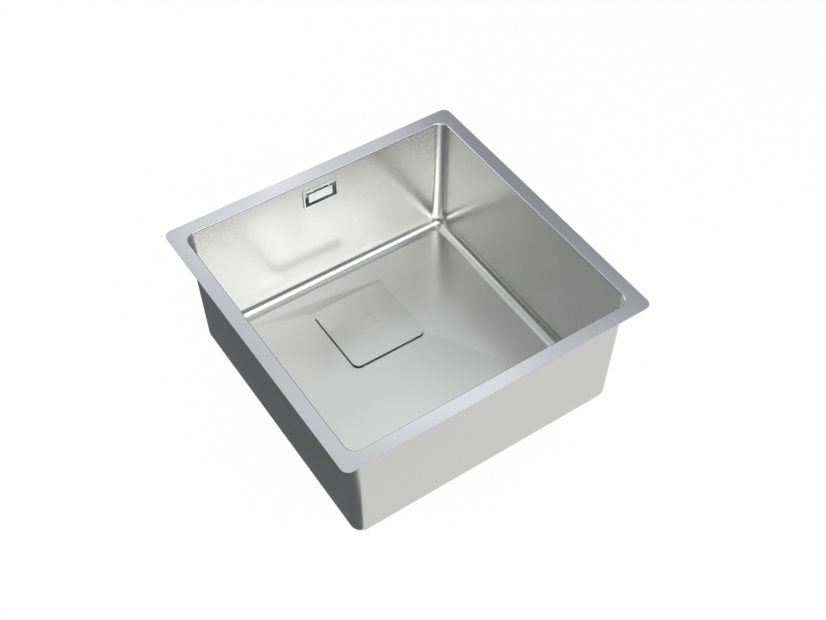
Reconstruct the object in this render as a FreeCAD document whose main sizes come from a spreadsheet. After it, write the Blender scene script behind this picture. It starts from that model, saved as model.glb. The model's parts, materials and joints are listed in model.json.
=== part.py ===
import FreeCAD, Part
import math
import os
import re

import Sketcher

# Undermount kitchen sink: one pressed square bowl with a flat flange, a square overflow
# and a 90 mm basket waste under a square cover. Millimetres, +Z up. The origin is the
# centre of the opening, on the flange's top face; +Y is the back wall with the overflow.
sizes = {
    # bowl, one pressing of even sheet
    "opening_size": 400,      # square opening, wall to wall at the flange
    "flange_width": 20,       # flange all round the opening
    "flange_corner": 10,
    "sheet": 1,
    "wall_depth": 191.5,      # flange top to floor, along the walls
    "wall_draft": 1.37,       # degrees, each wall leans in towards the floor
    "corner_radius": 15,      # inside, between walls and round the floor
    "rim_bend": 2,            # top edge of the opening
    "floor_fall": 1.5,        # floor drops this much to the land round the waste
    "land_size": 126,         # flat square land round the waste
    "drain_to_back": 115,     # waste axis to the back edge of the opening
    "recess_clearance": 1.5,  # round the waste's flange
    "recess_flare": 1,
    "recess_depth": 6,
    "recess_bend": 1.5,
    "miter": 0.414,           # tangent of half of 45 degrees, for a sheet bent in two steps
    "hole_clearance": 1,      # round the waste, in the floor's hole
    "pad_thickness": 3,
    "pad_margin": 25,
    "pad_corner": 6,
    # waste: strainer cup above, moulded body below, screwed together
    "flange_gasket": 1.5,
    "under_gasket": 3,
    "seal_inset": 0.5,
    "cup_radius": 40.5,
    "cup_depth": 48.5,
    "cup_taper": 2.5,
    "ledge_width": 2.5,
    "ledge_depth": 6,
    "strainer_rim": 7.5,      # flange round the mouth
    "mouth_bend": 1.6,
    "dish_bend": 3,
    "outlet_hole_ring": 18.5,
    "outlet_hole": 6,         # radius
    "outlet_hole_count": 6,
    "body_clearance": 2.5,    # strainer to body
    "body_rim": 1,            # body flange beyond the recess
    "body_flange_thickness": 3,
    "body_wall": 3,
    "body_cup": 48,           # depth of the straight part
    "funnel_height": 14,
    "outlet_bore": 20.5,
    "outlet_radius": 23.9,    # 1 1/2 inch pipe thread
    "outlet_length": 22,
    "outlet_collar": 27,
    "collar_height": 6,
    "boss_radius": 9,
    "boss_height": 13.5,
    "boss_clearance": 1,
    "spoke_width": 3,
    "spoke_height": 5,
    "spoke_count": 3,
    "gusset_height": 13.5,
    "gusset_foot": 1,
    "gusset_inset": 1,
    "gusset_count": 6,
    "insert_radius": 6,
    "insert_height": 11,
    "screw_radius": 4,
    "screw_tip": 1,
    "screw_head": 9,
    "screw_head_height": 2.5,
    "screw_length": 17,
    "fit_gap": 0.05,          # radial, pin in hole
    "seat_gap": 0.3,          # under what rests on a seat and lifts off
    # basket that lifts out
    "basket_sheet": 0.8,
    "basket_depth": 24,
    "basket_clearance": 1.2,
    "basket_taper": 4.3,
    "basket_bend": 4,
    "basket_hole": 2.5,       # radius
    "inner_hole_ring": 15,
    "inner_hole_count": 6,
    "outer_hole_ring": 25,
    "outer_hole_count": 10,
    "basket_slot_width": 4,
    "basket_slot_height": 11,
    "basket_slot_count": 12,
    "bush_radius": 6,
    "bush_flange": 9,
    "bush_flange_height": 2,
    "bush_tail": 2.5,
    "clip_thickness": 1,
    "ring_wire": 0.9,         # half the grip ring's square section
    # stopper that slides in the basket
    "rod_radius": 3,
    "rod_step": 0.5,
    "rod_foot": 7,
    "rod_foot_height": 1.5,
    "seal_cover": 6.5,        # seal beyond the outlet holes
    "seal_lip": 5,
    "seal_lip_height": 3,
    "seal_web": 2,
    "disc_margin": 3,
    "disc_thickness": 1,
    "knob_radius": 11,
    "knob_height": 13,
    "knob_rim": 2,
    "knob_base": 6.6,
    "knob_cap": 3,            # over the rod's end
    # square cover over the waste
    "cover_size": 115,
    "cover_corner": 10,
    "cover_sheet": 1,
    "cover_edge": 0.3,
    "badge_size": 24,
    "badge_height": 0.4,
    "badge_edge": 0.25,
    "foot_radius": 4,
    "foot_height": 2.4,
    "foot_inset": 10.5,
    "cover_ring_wall": 1.2,
    "cover_ring_clearance": 2.5,
    "cover_ring_lift": 1.2,   # over the basket's rim
    "window_width": 14,
    "window_height": 5,
    "window_count": 6,
    # overflow in the back wall
    "overflow_drop": 31,      # centre below the flange
    "frame_width": 53.6,
    "frame_height": 30.6,
    "frame_proud": 1.8,
    "frame_corner": 2,
    "frame_edge": 0.45,
    "mouth_width": 49,
    "mouth_height": 24.4,
    "mouth_corner": 1,
    "tube_wall": 0.8,
    "tube_depth": 11,
    "bar_height": 9,
    "bar_thickness": 3,
    "plate_width": 37.5,
    "plate_height": 15,
    "plate_thickness": 2,
    "plate_proud": 1.2,
    "plate_corner": 1.5,
    "plate_edge": 0.4,
    "leg_radius": 1.5,
    "leg_spacing": 31,
    "tap_radius": 2,          # overflow screws
    "tap_head": 3.8,
    "tap_head_height": 2.4,
    "tap_head_edge": 0.8,
    "tap_length": 12,
    "tap_spacing": 16,
    "hole_gap": 0.3,          # frame tube in the wall's hole
    "back_gasket": 2.5,
    "housing_width": 62,
    "housing_height": 38,
    "housing_corner": 4,
    "housing_lip": 3,
    "housing_flange": 3,
    "housing_depth": 20,
    "housing_wall": 2.5,
    "housing_edge": 2,        # bevel round the box's back
    "tap_boss": 4,
    "spigot_radius": 12,
    "spigot_bore": 8.5,
    "spigot_drop": 38,        # end of the spigot below the overflow's centre
    "spigot_top": 5,
    "port_length": 16.5,      # the waste's side port, out of its wall
    "port_drop": 26,          # its axis below the waste's seat
    # overflow hose between two equal unions
    "washer_thickness": 1.5,
    "hose_bore": 8.3,
    "hose_root": 9.6,
    "hose_crest": 11.5,
    "hose_pitch": 8,
    "hose_collar": 2,
    "nut_wall": 3.4,
    "nut_cover": 10,          # length of the nut over the spigot
    "nut_lip": 3.4,
    "nut_gap": 1.5,           # nut to the bowl's back wall
    "nut_flute": 2,
    "flute_depth": 1,
    "flute_count": 8,
}

hair = 0.01    # mm, and mm3: less than this counts as nothing

doc = FreeCAD.newDocument("kitchen_sink")
sheet = doc.addObject("Spreadsheet::Sheet", "Sizes")
for row, (alias, number) in enumerate(sizes.items(), start=1):
    sheet.set(f"A{row}", alias)
    sheet.set(f"B{row}", str(number))
    sheet.setAlias(f"B{row}", alias)
doc.recompute()

# heights and places that several pieces share, worked out from the sizes
drain_y = "(opening_size / 2 - drain_to_back)"
wall_lean = "tan(wall_draft)"
floor_half = f"(opening_size / 2 - wall_depth * {wall_lean} - corner_radius)"
land_depth = "(wall_depth + floor_fall)"
seat_depth = f"({land_depth} + recess_depth)"
# radii of the waste, from the cup outwards
mouth = "(cup_radius + ledge_width)"
strainer_edge = f"({mouth} + strainer_rim)"
drain_radius = f"({mouth} + sheet + hole_clearance)"
recess_edge = f"({strainer_edge} + recess_clearance)"
body_inside = f"({mouth} + sheet + body_clearance)"
body_edge = f"({recess_edge} + body_rim)"
port_reach = f"({body_inside} + body_wall + port_length)"
dish_edge = "(cup_radius - cup_taper)"
basket_wall = "(cup_radius - basket_clearance)"
basket_foot = f"({basket_wall} - basket_taper)"
seal_edge = "(outlet_hole_ring + outlet_hole + seal_cover)"
disc_edge = f"({seal_edge} - disc_margin)"
# heights from the waste's seat, which is the bottom of the recess
strainer_top = "(flange_gasket + sheet)"
ledge = f"({strainer_top} - ledge_depth)"
dish_floor = f"({strainer_top} - cup_depth)"
body_top = "(0 - sheet - under_gasket)"
boss_top = f"({dish_floor} - sheet - boss_clearance)"
funnel_top = f"({body_top} - body_cup)"
collar_top = f"({funnel_top} - funnel_height)"
thread_top = f"({collar_top} - collar_height)"
outlet_end = f"({thread_top} - outlet_length)"
basket_top = f"({ledge} + seat_gap + basket_sheet)"
basket_floor = f"({basket_top} - basket_depth)"
bush_end = f"({basket_floor} - basket_sheet - bush_tail)"
bush_top = f"({basket_floor} + bush_flange_height)"
seal_foot = f"({dish_floor} + seat_gap)"
seal_top = f"({seal_foot} + seal_lip_height + seal_web)"
rod_seat = f"({seal_top} + disc_thickness)"
knob_foot = f"({bush_top} + seat_gap)"
cover_under = "(recess_depth + seat_gap + foot_height)"
cover_top = f"({cover_under} + cover_sheet)"
# places on the leaning back wall: out behind it, and up along it
overflow_y = f"(opening_size / 2 - overflow_drop * {wall_lean})"
housing_face = "(sheet + back_gasket)"
nut_radius = "(spigot_radius + fit_gap + nut_wall)"
spigot_out = f"(sheet + nut_gap + {nut_radius})"


def bound(text):
    # the same expression, with each size read from the sheet
    return re.sub(r"[a-z_]+", lambda word: "Sizes." + word[0] if word[0] in sizes else word[0], text)


def value(text):
    return float(sheet.evalExpression(bound(text).replace("Sizes.", "")))


def new_body(name, x="0", y="0", z="0", turn="0", axis=FreeCAD.Vector(1, 0, 0)):
    made = doc.addObject("PartDesign::Body", name)
    made.Label = name
    made.AllowCompound = True
    made.Placement = FreeCAD.Placement(FreeCAD.Vector(), FreeCAD.Rotation(axis, 1))
    made.setExpression("Placement.Base.x", bound(x))
    made.setExpression("Placement.Base.y", bound(y))
    made.setExpression("Placement.Base.z", bound(z))
    made.setExpression("Placement.Rotation.Angle", bound(turn))
    return made


def waste_part(name):
    # upright on the waste axis, with z = 0 at the recess floor
    return new_body(name, y=drain_y, z=f"0 - {seat_depth}")


def wall_place(out, up):
    # a point behind the back wall, in the row's y and z
    y = f"{overflow_y} + {out} * cos(wall_draft) + {up} * sin(wall_draft)"
    z = f"0 - overflow_drop - {out} * sin(wall_draft) + {up} * cos(wall_draft)"
    return y, z


def wall_part(name):
    # local y runs out behind the wall, local z up along it
    return new_body(name, y=overflow_y, z="0 - overflow_drop", turn="wall_draft",
                    axis=FreeCAD.Vector(-1, 0, 0))


def union_part(name, at_top):
    # z = 0 is the end face of the spigot or port, and z runs into the hose
    if at_top:
        y, z = wall_place(spigot_out, "(0 - spigot_drop)")
        return new_body(name, y=y, z=z, turn="180 - wall_draft")
    return new_body(name, y=f"{drain_y} + {port_reach}", z=f"0 - {seat_depth} - port_drop",
                    turn="90", axis=FreeCAD.Vector(-1, 0, 0))


def new_sketch(body, name, role, lift="0"):
    flat = body.newObject("Sketcher::SketchObject", name)
    plane = [part for part in body.Origin.OriginFeatures if part.Role == role][0]
    flat.AttachmentSupport = [(plane, "")]
    flat.MapMode = "FlatFace"
    flat.setExpression("AttachmentOffset.Base.z", bound(lift))
    return flat


def pin_point(flat, geometry, end, x, y):
    # holds a point at x, y from the sketch's origin
    for kind, text in (("DistanceX", x), ("DistanceY", y)):
        number = flat.addConstraint(Sketcher.Constraint(kind, -1, 1, geometry, end, value(text)))
        flat.setExpression(f"Constraints[{number}]", bound(text))


def outline(flat, corners):
    # a closed run of straight lines; a corner with a radius has a tangent arc
    spots = [FreeCAD.Vector(value(x), value(y), 0) for x, y, radius in corners]
    radii = [value(radius) for x, y, radius in corners]
    count = len(corners)
    entries = []
    exits = []
    lefts = []
    for i, spot in enumerate(spots):
        before = (spots[i - 1] - spot).normalize()
        after = (spots[(i + 1) % count] - spot).normalize()
        half = before.getAngle(after) / 2
        reach = radii[i] / math.tan(half)
        entries.append(spot + before * reach)
        exits.append(spot + after * reach)
        lefts.append(before.cross(after).z < 0)
    lines = []
    for i in range(count):
        segment = Part.LineSegment(exits[i], entries[(i + 1) % count])
        lines.append(flat.addGeometry(segment, False))
    for i, (x, y, radius) in enumerate(corners):
        before = lines[i - 1]
        after = lines[i]
        if radii[i] == 0:
            flat.addConstraint(Sketcher.Constraint("Coincident", before, 2, after, 1))
            pin_point(flat, after, 1, x, y)
            continue
        to_middle = (entries[i] + exits[i]) * 0.5 - spots[i]
        half = math.asin((exits[i] - entries[i]).Length / 2 / radii[i])
        centre = spots[i] + to_middle.normalize() * (radii[i] / math.cos(half))
        first, last = (entries[i], exits[i]) if lefts[i] else (exits[i], entries[i])
        start = math.atan2(first.y - centre.y, first.x - centre.x)
        end = math.atan2(last.y - centre.y, last.x - centre.x)
        ring = Part.Circle(centre, FreeCAD.Vector(0, 0, 1), radii[i])
        arc = flat.addGeometry(Part.ArcOfCircle(ring, start, end), False)
        mark = flat.addGeometry(Part.Point(spots[i]), True)
        pin_point(flat, mark, 1, x, y)
        flat.addConstraint(Sketcher.Constraint("PointOnObject", mark, 1, before))
        flat.addConstraint(Sketcher.Constraint("PointOnObject", mark, 1, after))
        flat.addConstraint(Sketcher.Constraint("Tangent", before, 2, arc, 1 if lefts[i] else 2))
        flat.addConstraint(Sketcher.Constraint("Tangent", after, 1, arc, 2 if lefts[i] else 1))
        number = flat.addConstraint(Sketcher.Constraint("Radius", arc, radii[i]))
        flat.setExpression(f"Constraints[{number}]", bound(radius))


def rectangle(flat, width, height, radius="0", x="0", y="0"):
    left, right = f"{x} - {width} / 2", f"{x} + {width} / 2"
    low, high = f"{y} - {height} / 2", f"{y} + {height} / 2"
    outline(flat, [(left, low, radius), (right, low, radius), (right, high, radius), (left, high, radius)])


def circle(flat, radius, x="0", y="0"):
    centre = FreeCAD.Vector(value(x), value(y), 0)
    made = flat.addGeometry(Part.Circle(centre, FreeCAD.Vector(0, 0, 1), value(radius)), False)
    pin_point(flat, made, 3, x, y)
    number = flat.addConstraint(Sketcher.Constraint("Radius", made, value(radius)))
    flat.setExpression(f"Constraints[{number}]", bound(radius))


def grown(body, feature, adds):
    # the feature must have changed the volume the way it is meant to
    before = feature.BaseFeature.Shape.Volume if feature.BaseFeature else 0
    doc.recompute()
    change = feature.Shape.Volume - before
    if (change > 0) != adds or abs(change) < hair:
        raise RuntimeError(f"{body.Label}.{feature.Label} changed the volume by {change:.3f}")
    return feature


def pad(body, flat, length, back=False):
    # back: away from the plane's own normal
    feature = body.newObject("PartDesign::Pad", flat.Label + "_pad")
    feature.Profile = flat
    feature.Reversed = back
    feature.setExpression("Length", bound(length))
    return grown(body, feature, True)


def pocket(body, flat, length, along=False):
    # along: towards the plane's own normal
    feature = body.newObject("PartDesign::Pocket", flat.Label + "_pocket")
    feature.Profile = flat
    feature.Reversed = along
    feature.setExpression("Length", bound(length))
    return grown(body, feature, False)


def turned(body, name, corners, cut=False, axis="0"):
    # a profile of radius and height, turned round the upright axis
    role = "XZ_Plane" if axis == "0" else "YZ_Plane"
    flat = new_sketch(body, name, role)
    outline(flat, [(f"{axis} + {r}", z, radius) for r, z, radius in corners])
    feature = body.newObject("PartDesign::Groove" if cut else "PartDesign::Revolution", name + "_turn")
    feature.Profile = flat
    feature.ReferenceAxis = (flat, ["V_Axis"])
    if axis != "0":
        spot = FreeCAD.Vector(value(axis), 0, 0)
        line = flat.addGeometry(Part.LineSegment(spot, spot + FreeCAD.Vector(0, -1, 0)), True)
        pin_point(flat, line, 1, axis, "0")
        pin_point(flat, line, 2, axis, "-1")
        feature.ReferenceAxis = (flat, ["Axis0"])
    feature.Angle = 360
    return grown(body, feature, not cut)


def round_off(body, radius, wanted, name, kind="Fillet"):
    feature = body.newObject("PartDesign::" + kind, name)
    base = feature.BaseFeature
    edges = [f"Edge{i}" for i, edge in enumerate(base.Shape.Edges, start=1) if wanted(edge)]
    if not edges:
        raise RuntimeError(f"{body.Label}.{name} finds no edge")
    feature.Base = (base, edges)
    feature.setExpression("Radius" if kind == "Fillet" else "Size", bound(radius))
    doc.recompute()
    if feature.Shape.isNull() or not feature.Shape.isValid():
        raise RuntimeError(f"{body.Label}.{name} failed on {len(edges)} edges")
    return feature


def bevel(body, size, wanted, name):
    return round_off(body, size, wanted, name, "Chamfer")


def around(body, feature, count):
    # the feature repeated round the upright axis
    pattern = body.newObject("PartDesign::PolarPattern", feature.Label + "_ring")
    pattern.Originals = [feature]
    axis = [part for part in body.Origin.OriginFeatures if part.Role == "Z_Axis"][0]
    pattern.Axis = (axis, [""])
    pattern.Angle = 360
    pattern.setExpression("Occurrences", bound(count))
    body.Tip = pattern
    doc.recompute()
    if abs(pattern.Shape.Volume - feature.Shape.Volume) < hair:
        raise RuntimeError(f"{body.Label}.{pattern.Label} changed nothing")
    return pattern


def sloped_block(body, name, adds, top, depth, mouth, foot):
    # a block that narrows downwards, from a square mouth to a rectangular foot
    feature = body.newObject("PartDesign::AdditiveWedge" if adds else "PartDesign::SubtractiveWedge", name)
    # the wedge's own y runs down and its own z along the row's y
    feature.Placement = FreeCAD.Placement(FreeCAD.Vector(), FreeCAD.Rotation(FreeCAD.Vector(1, 0, 0), -90))
    feature.setExpression("Placement.Base.z", bound(top))
    left, right, near, far = foot
    shape = {"Xmin": f"0 - {mouth}", "Xmax": mouth, "Zmin": f"0 - {mouth}", "Zmax": mouth, "Ymin": "0",
             "Ymax": depth, "X2min": left, "X2max": right, "Z2min": near, "Z2max": far}
    for key, text in shape.items():
        feature.setExpression(key, bound(text))
    return grown(body, feature, adds)


def walls_block(body, name, adds, mouth, depth):
    # the bowl's four walls, each leaning in towards the floor
    foot = f"({mouth} - {depth} * {wall_lean})"
    return sloped_block(body, name, adds, "0", depth, mouth, (f"0 - {foot}", foot, f"0 - {foot}", foot))


def fall_block(body, name, adds, below):
    # four shallow slopes from the floor's edge to the square land round the waste
    half = "land_size / 2"
    foot = (f"0 - {half}", half, f"{drain_y} - {half}", f"{drain_y} + {half}")
    return sloped_block(body, name, adds, f"0 - wall_depth - {below}", "floor_fall", floor_half, foot)


def edge_middle(edge):
    return edge.valueAt((edge.FirstParameter + edge.LastParameter) / 2)


def is_arris(edge, mouth, depth):
    # the four slanting edges of a walls block and the four round its foot
    middle = edge_middle(edge)
    half = value(mouth) + middle.z * value(wall_lean)
    across, along = sorted([abs(middle.x), abs(middle.y)])
    if abs(along - half) > hair:
        return False
    at_foot = abs(middle.z + value(depth)) < hair
    return across < hair if at_foot else abs(across - half) < hair


def make_bowl():
    bowl = new_body("bowl")
    outer_mouth = "(opening_size / 2 + sheet)"
    inner_mouth = "(opening_size / 2)"
    # walls and flange, sharp at first, then rounded inside and outside
    walls_block(bowl, "outer_walls", True, outer_mouth, "(wall_depth + sheet)")
    flat = new_sketch(bowl, "flange", "XY_Plane")
    flange_size = "(opening_size + 2 * flange_width)"
    rectangle(flat, flange_size, flange_size, "flange_corner")
    pad(bowl, flat, "sheet", back=True)
    walls_block(bowl, "inner_walls", False, inner_mouth, "wall_depth")
    for name, radius, mouth_half, depth in (
            ("inner_rounding", "corner_radius", inner_mouth, "wall_depth"),
            ("outer_rounding", "corner_radius + sheet", outer_mouth, "wall_depth + sheet")):
        round_off(bowl, radius, lambda edge: is_arris(edge, mouth_half, depth), name)
    # floor slopes and the waste's recess: underside first, then the top
    fall_block(bowl, "floor_underside", True, "sheet")
    lip = f"{recess_edge} + recess_flare"
    land, seat = f"0 - {land_depth}", f"0 - {seat_depth}"
    turned(bowl, "recess_under", [
        ("0", f"{land} - sheet / 2", "0"),
        ("0", f"{seat} - sheet", "0"),
        (f"{recess_edge} - recess_bend + sheet * miter", f"{seat} - sheet", "0"),
        (f"{recess_edge} + sheet", f"{seat} + recess_bend - sheet * miter", "0"),
        (f"{lip} + sheet", f"{land} - recess_bend - sheet * miter", "0"),
        (f"{lip} + recess_bend + sheet * miter", f"{land} - sheet", "0"),
        (f"{lip} + recess_bend + sheet * miter", f"{land} - sheet / 2", "0"),
    ], axis=drain_y)
    fall_block(bowl, "floor_slopes", False, "0")
    turned(bowl, "recess", [
        ("0", f"{land} + sheet", "0"),
        ("0", seat, "0"),
        (f"{recess_edge} - recess_bend", seat, "0"),
        (recess_edge, f"{seat} + recess_bend", "0"),
        (lip, f"{land} - recess_bend", "0"),
        (f"{lip} + recess_bend", land, "0"),
        (f"{lip} + recess_bend", f"{land} + sheet", "0"),
    ], cut=True, axis=drain_y)
    flat = new_sketch(bowl, "drain", "XY_Plane", f"0 - {seat_depth} + sheet")
    circle(flat, drain_radius, y=drain_y)
    pocket(bowl, flat, "3 * sheet")
    # the overflow's hole, square to the leaning wall
    flat = new_sketch(bowl, "overflow", "XZ_Plane")
    leaning = FreeCAD.Rotation(FreeCAD.Vector(-1, 0, 0), 1)
    flat.AttachmentOffset = FreeCAD.Placement(FreeCAD.Vector(), leaning)
    flat.setExpression("AttachmentOffset.Rotation.Angle", bound("wall_draft"))
    flat.setExpression("AttachmentOffset.Base.y", bound("0 - overflow_drop"))
    flat.setExpression("AttachmentOffset.Base.z", bound(f"2 * sheet - {overflow_y}"))
    wall_hole(flat)
    pocket(bowl, flat, "6 * sheet")
    # the bend from flange to wall
    round_off(bowl, "rim_bend", lambda edge: in_mouth(edge, "0", inner_mouth), "rim_bend_top")
    round_off(bowl, "rim_bend - sheet", lambda edge: in_mouth(edge, "0 - sheet", outer_mouth),
              "rim_bend_under")
    return bowl


def wall_hole(flat):
    # the outline of the wall's hole for the frame's tube
    width, height = [f"({size} + 2 * tube_wall + 2 * hole_gap)" for size in ("mouth_width", "mouth_height")]
    rectangle(flat, width, height, "mouth_corner + tube_wall + hole_gap")


def in_mouth(edge, height, mouth):
    # an edge in the level plane at this height, inside the flange's own outline
    box = edge.BoundBox
    level = max(abs(box.ZMin - value(height)), abs(box.ZMax - value(height))) < hair
    return level and max(abs(edge_middle(edge).x), abs(edge_middle(edge).y)) < value(mouth) + 0.1


def make_sound_pad():
    # rubber sheet stuck under the front slope of the floor
    run = f"({drain_y} - land_size / 2 + {floor_half})"
    made = new_body("sound_pad", y=f"0 - {floor_half}", z="0 - wall_depth - sheet",
                    turn=f"atan(floor_fall / {run})", axis=FreeCAD.Vector(-1, 0, 0))
    length = f"({run} - 3 * pad_margin)"
    half = f"(land_size / 2 + ({floor_half} - land_size / 2) * 2 * pad_margin / {run} - fit_gap)"
    flat = new_sketch(made, "pad", "XY_Plane", "0 - fit_gap")
    rectangle(flat, f"(2 * {half})", length, "pad_corner", y=f"(pad_margin + {length} / 2)")
    pad(made, flat, "pad_thickness", back=True)
    return made


def make_strainer():
    # pressed cup: flange on the recess, a ledge for the basket, a dished floor
    cup = waste_part("strainer_cup")
    hole = "screw_radius + 2 * seat_gap"
    turned(cup, "shell", [
        (hole, dish_floor, "0"),
        (f"{dish_edge} - dish_bend", dish_floor, "0"),
        (dish_edge, f"{dish_floor} + dish_bend", "0"),
        ("cup_radius", ledge, "0"),
        (mouth, ledge, "0"),
        (mouth, f"{strainer_top} - mouth_bend", "0"),
        (f"{mouth} + mouth_bend", strainer_top, "0"),
        (strainer_edge, strainer_top, "0"),
        (strainer_edge, "flange_gasket", "0"),
        (f"{mouth} + mouth_bend + sheet * miter", "flange_gasket", "0"),
        (f"{mouth} + sheet", f"{strainer_top} - mouth_bend - sheet * miter", "0"),
        (f"{mouth} + sheet", f"{ledge} - sheet", "0"),
        ("cup_radius + sheet", f"{ledge} - sheet", "0"),
        (f"{dish_edge} + sheet", f"{dish_floor} + dish_bend - sheet * miter", "0"),
        (f"{dish_edge} - dish_bend + sheet * miter", f"{dish_floor} - sheet", "0"),
        (hole, f"{dish_floor} - sheet", "0"),
    ])
    flat = new_sketch(cup, "outlet", "XY_Plane", f"{dish_floor} + sheet")
    circle(flat, "outlet_hole", x="outlet_hole_ring")
    around(cup, pocket(cup, flat, "3 * sheet"), "outlet_hole_count")
    return cup


def make_ring(name, inner, outer, low, high):
    made = waste_part(name)
    turned(made, "ring", [(inner, low, "0"), (outer, low, "0"), (outer, high, "0"), (inner, high, "0")])
    return made


def make_seals():
    # two flat rubber rings, over and under the recess's floor
    inner = f"{drain_radius} + seal_inset"
    outer = f"{strainer_edge} - seal_inset"
    return [
        make_ring("flange_seal", inner, outer, "0", "flange_gasket"),
        make_ring("under_seal", inner, outer, body_top, "0 - sheet"),
    ]


def make_waste_body():
    # moulded cup under the sink: side port for the overflow, spokes and boss for the screw
    made = waste_part("waste_body")
    outer = f"{body_inside} + body_wall"
    in_wall = f"{body_inside} + body_wall / 2"
    flange_foot = f"{body_top} - body_flange_thickness"
    turned(made, "cup", [
        (body_inside, body_top, "0"),
        (body_inside, funnel_top, "0"),
        ("outlet_bore", collar_top, "0"),
        ("outlet_bore", outlet_end, "0"),
        ("outlet_radius", outlet_end, "0"),
        ("outlet_radius", thread_top, "0"),
        ("outlet_collar", thread_top, "0"),
        ("outlet_collar", f"{collar_top} - body_wall / 2", "0"),
        (outer, f"{funnel_top} - body_wall / 2", "0"),
        (outer, flange_foot, "0"),
        (body_edge, flange_foot, "0"),
        (body_edge, body_top, "0"),
    ])
    # side port, from its end face back into the wall, then its bore
    flat = new_sketch(made, "port", "XZ_Plane", f"0 - {port_reach}")
    circle(flat, "spigot_radius", y="0 - port_drop")
    pad(made, flat, "port_length + body_wall / 2")
    flat = new_sketch(made, "port_bore", "XZ_Plane", f"0 - {port_reach}")
    circle(flat, "spigot_bore", y="0 - port_drop")
    pocket(made, flat, "port_length + 2 * body_wall", along=True)
    # spokes that carry the boss in the middle of the cup
    flat = new_sketch(made, "spoke", "XY_Plane", f"{funnel_top} - body_wall / 2")
    rectangle(flat, body_inside, "spoke_width", x=f"({body_inside} / 2 + body_wall / 2)")
    around(made, pad(made, flat, "spoke_height"), "spoke_count")
    flat = new_sketch(made, "boss", "XY_Plane", boss_top)
    circle(flat, "boss_radius")
    pad(made, flat, "boss_height", back=True)
    flat = new_sketch(made, "insert_seat", "XY_Plane", boss_top)
    circle(flat, "insert_radius + fit_gap")
    pocket(made, flat, "insert_height + fit_gap")
    flat = new_sketch(made, "screw_way", "XY_Plane", boss_top)
    circle(flat, "screw_radius + seat_gap")
    pocket(made, flat, "boss_height + body_wall")
    # gussets under the clamping flange
    flat = new_sketch(made, "gusset", "XZ_Plane", "spoke_width / 2")
    in_flange = f"{body_top} - body_flange_thickness / 2"
    outline(flat, [
        (in_wall, in_flange, "0"),
        (in_wall, f"{in_flange} - gusset_height", "0"),
        (f"{outer} + gusset_foot", f"{in_flange} - gusset_height", "0"),
        (f"{body_edge} - gusset_inset", in_flange, "0"),
    ])
    around(made, pad(made, flat, "spoke_width", back=True), "gusset_count")
    return made


def make_clamp_screw():
    screw = waste_part("clamp_screw")
    turned(screw, "screw", [
        ("0", f"{dish_floor} - sheet - screw_length", "0"),
        ("screw_radius - screw_tip", f"{dish_floor} - sheet - screw_length", "0"),
        ("screw_radius", f"{dish_floor} - sheet - screw_length + screw_tip", "0"),
        ("screw_radius", dish_floor, "0"),
        ("screw_head", dish_floor, "0"),
        ("screw_head", f"{dish_floor} + screw_head_height / 2", "0"),
        ("screw_head - screw_head_height / 2", f"{dish_floor} + screw_head_height", "0"),
        ("0", f"{dish_floor} + screw_head_height", "0"),
    ])
    flat = new_sketch(screw, "slot", "XY_Plane", f"{dish_floor} + screw_head_height")
    rectangle(flat, "(3 * screw_head)", "(screw_radius / 2)")
    pocket(screw, flat, "screw_head_height / 2")
    return screw


def make_screw_insert():
    # knurled brass bush moulded into the boss
    insert = waste_part("screw_insert")
    flat = new_sketch(insert, "bush", "XY_Plane", boss_top)
    circle(flat, "insert_radius")
    circle(flat, "screw_radius + fit_gap")
    pad(insert, flat, "insert_height", back=True)
    return insert


def make_basket():
    # perforated cup whose rim rests on the strainer's ledge
    basket = waste_part("basket_cup")
    hole = "bush_radius + fit_gap"
    rim = f"{mouth} - 2 * seat_gap"
    turned(basket, "shell", [
        (hole, basket_floor, "0"),
        (f"{basket_foot} - basket_bend", basket_floor, "0"),
        (basket_foot, f"{basket_floor} + basket_bend", "0"),
        (f"{basket_wall} - basket_sheet", basket_top, "0"),
        (rim, basket_top, "0"),
        (rim, f"{basket_top} - basket_sheet", "0"),
        (basket_wall, f"{basket_top} - basket_sheet", "0"),
        (f"{basket_foot} + basket_sheet", f"{basket_floor} + basket_bend - basket_sheet * miter", "0"),
        (f"{basket_foot} - basket_bend + basket_sheet * miter", f"{basket_floor} - basket_sheet", "0"),
        (hole, f"{basket_floor} - basket_sheet", "0"),
    ])
    for name in ("inner_hole", "outer_hole"):
        flat = new_sketch(basket, name, "XY_Plane", f"{basket_floor} + basket_sheet")
        circle(flat, "basket_hole", x=f"{name}_ring")
        around(basket, pocket(basket, flat, "3 * basket_sheet"), f"{name}_count")
    flat = new_sketch(basket, "slot", "YZ_Plane", f"{basket_foot} - basket_bend / 2")
    middle = f"({basket_top} - basket_depth / 2)"
    rectangle(flat, "basket_slot_width", "basket_slot_height", y=middle)
    around(basket, pocket(basket, flat, "2 * basket_bend", along=True), "basket_slot_count")
    return basket


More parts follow.
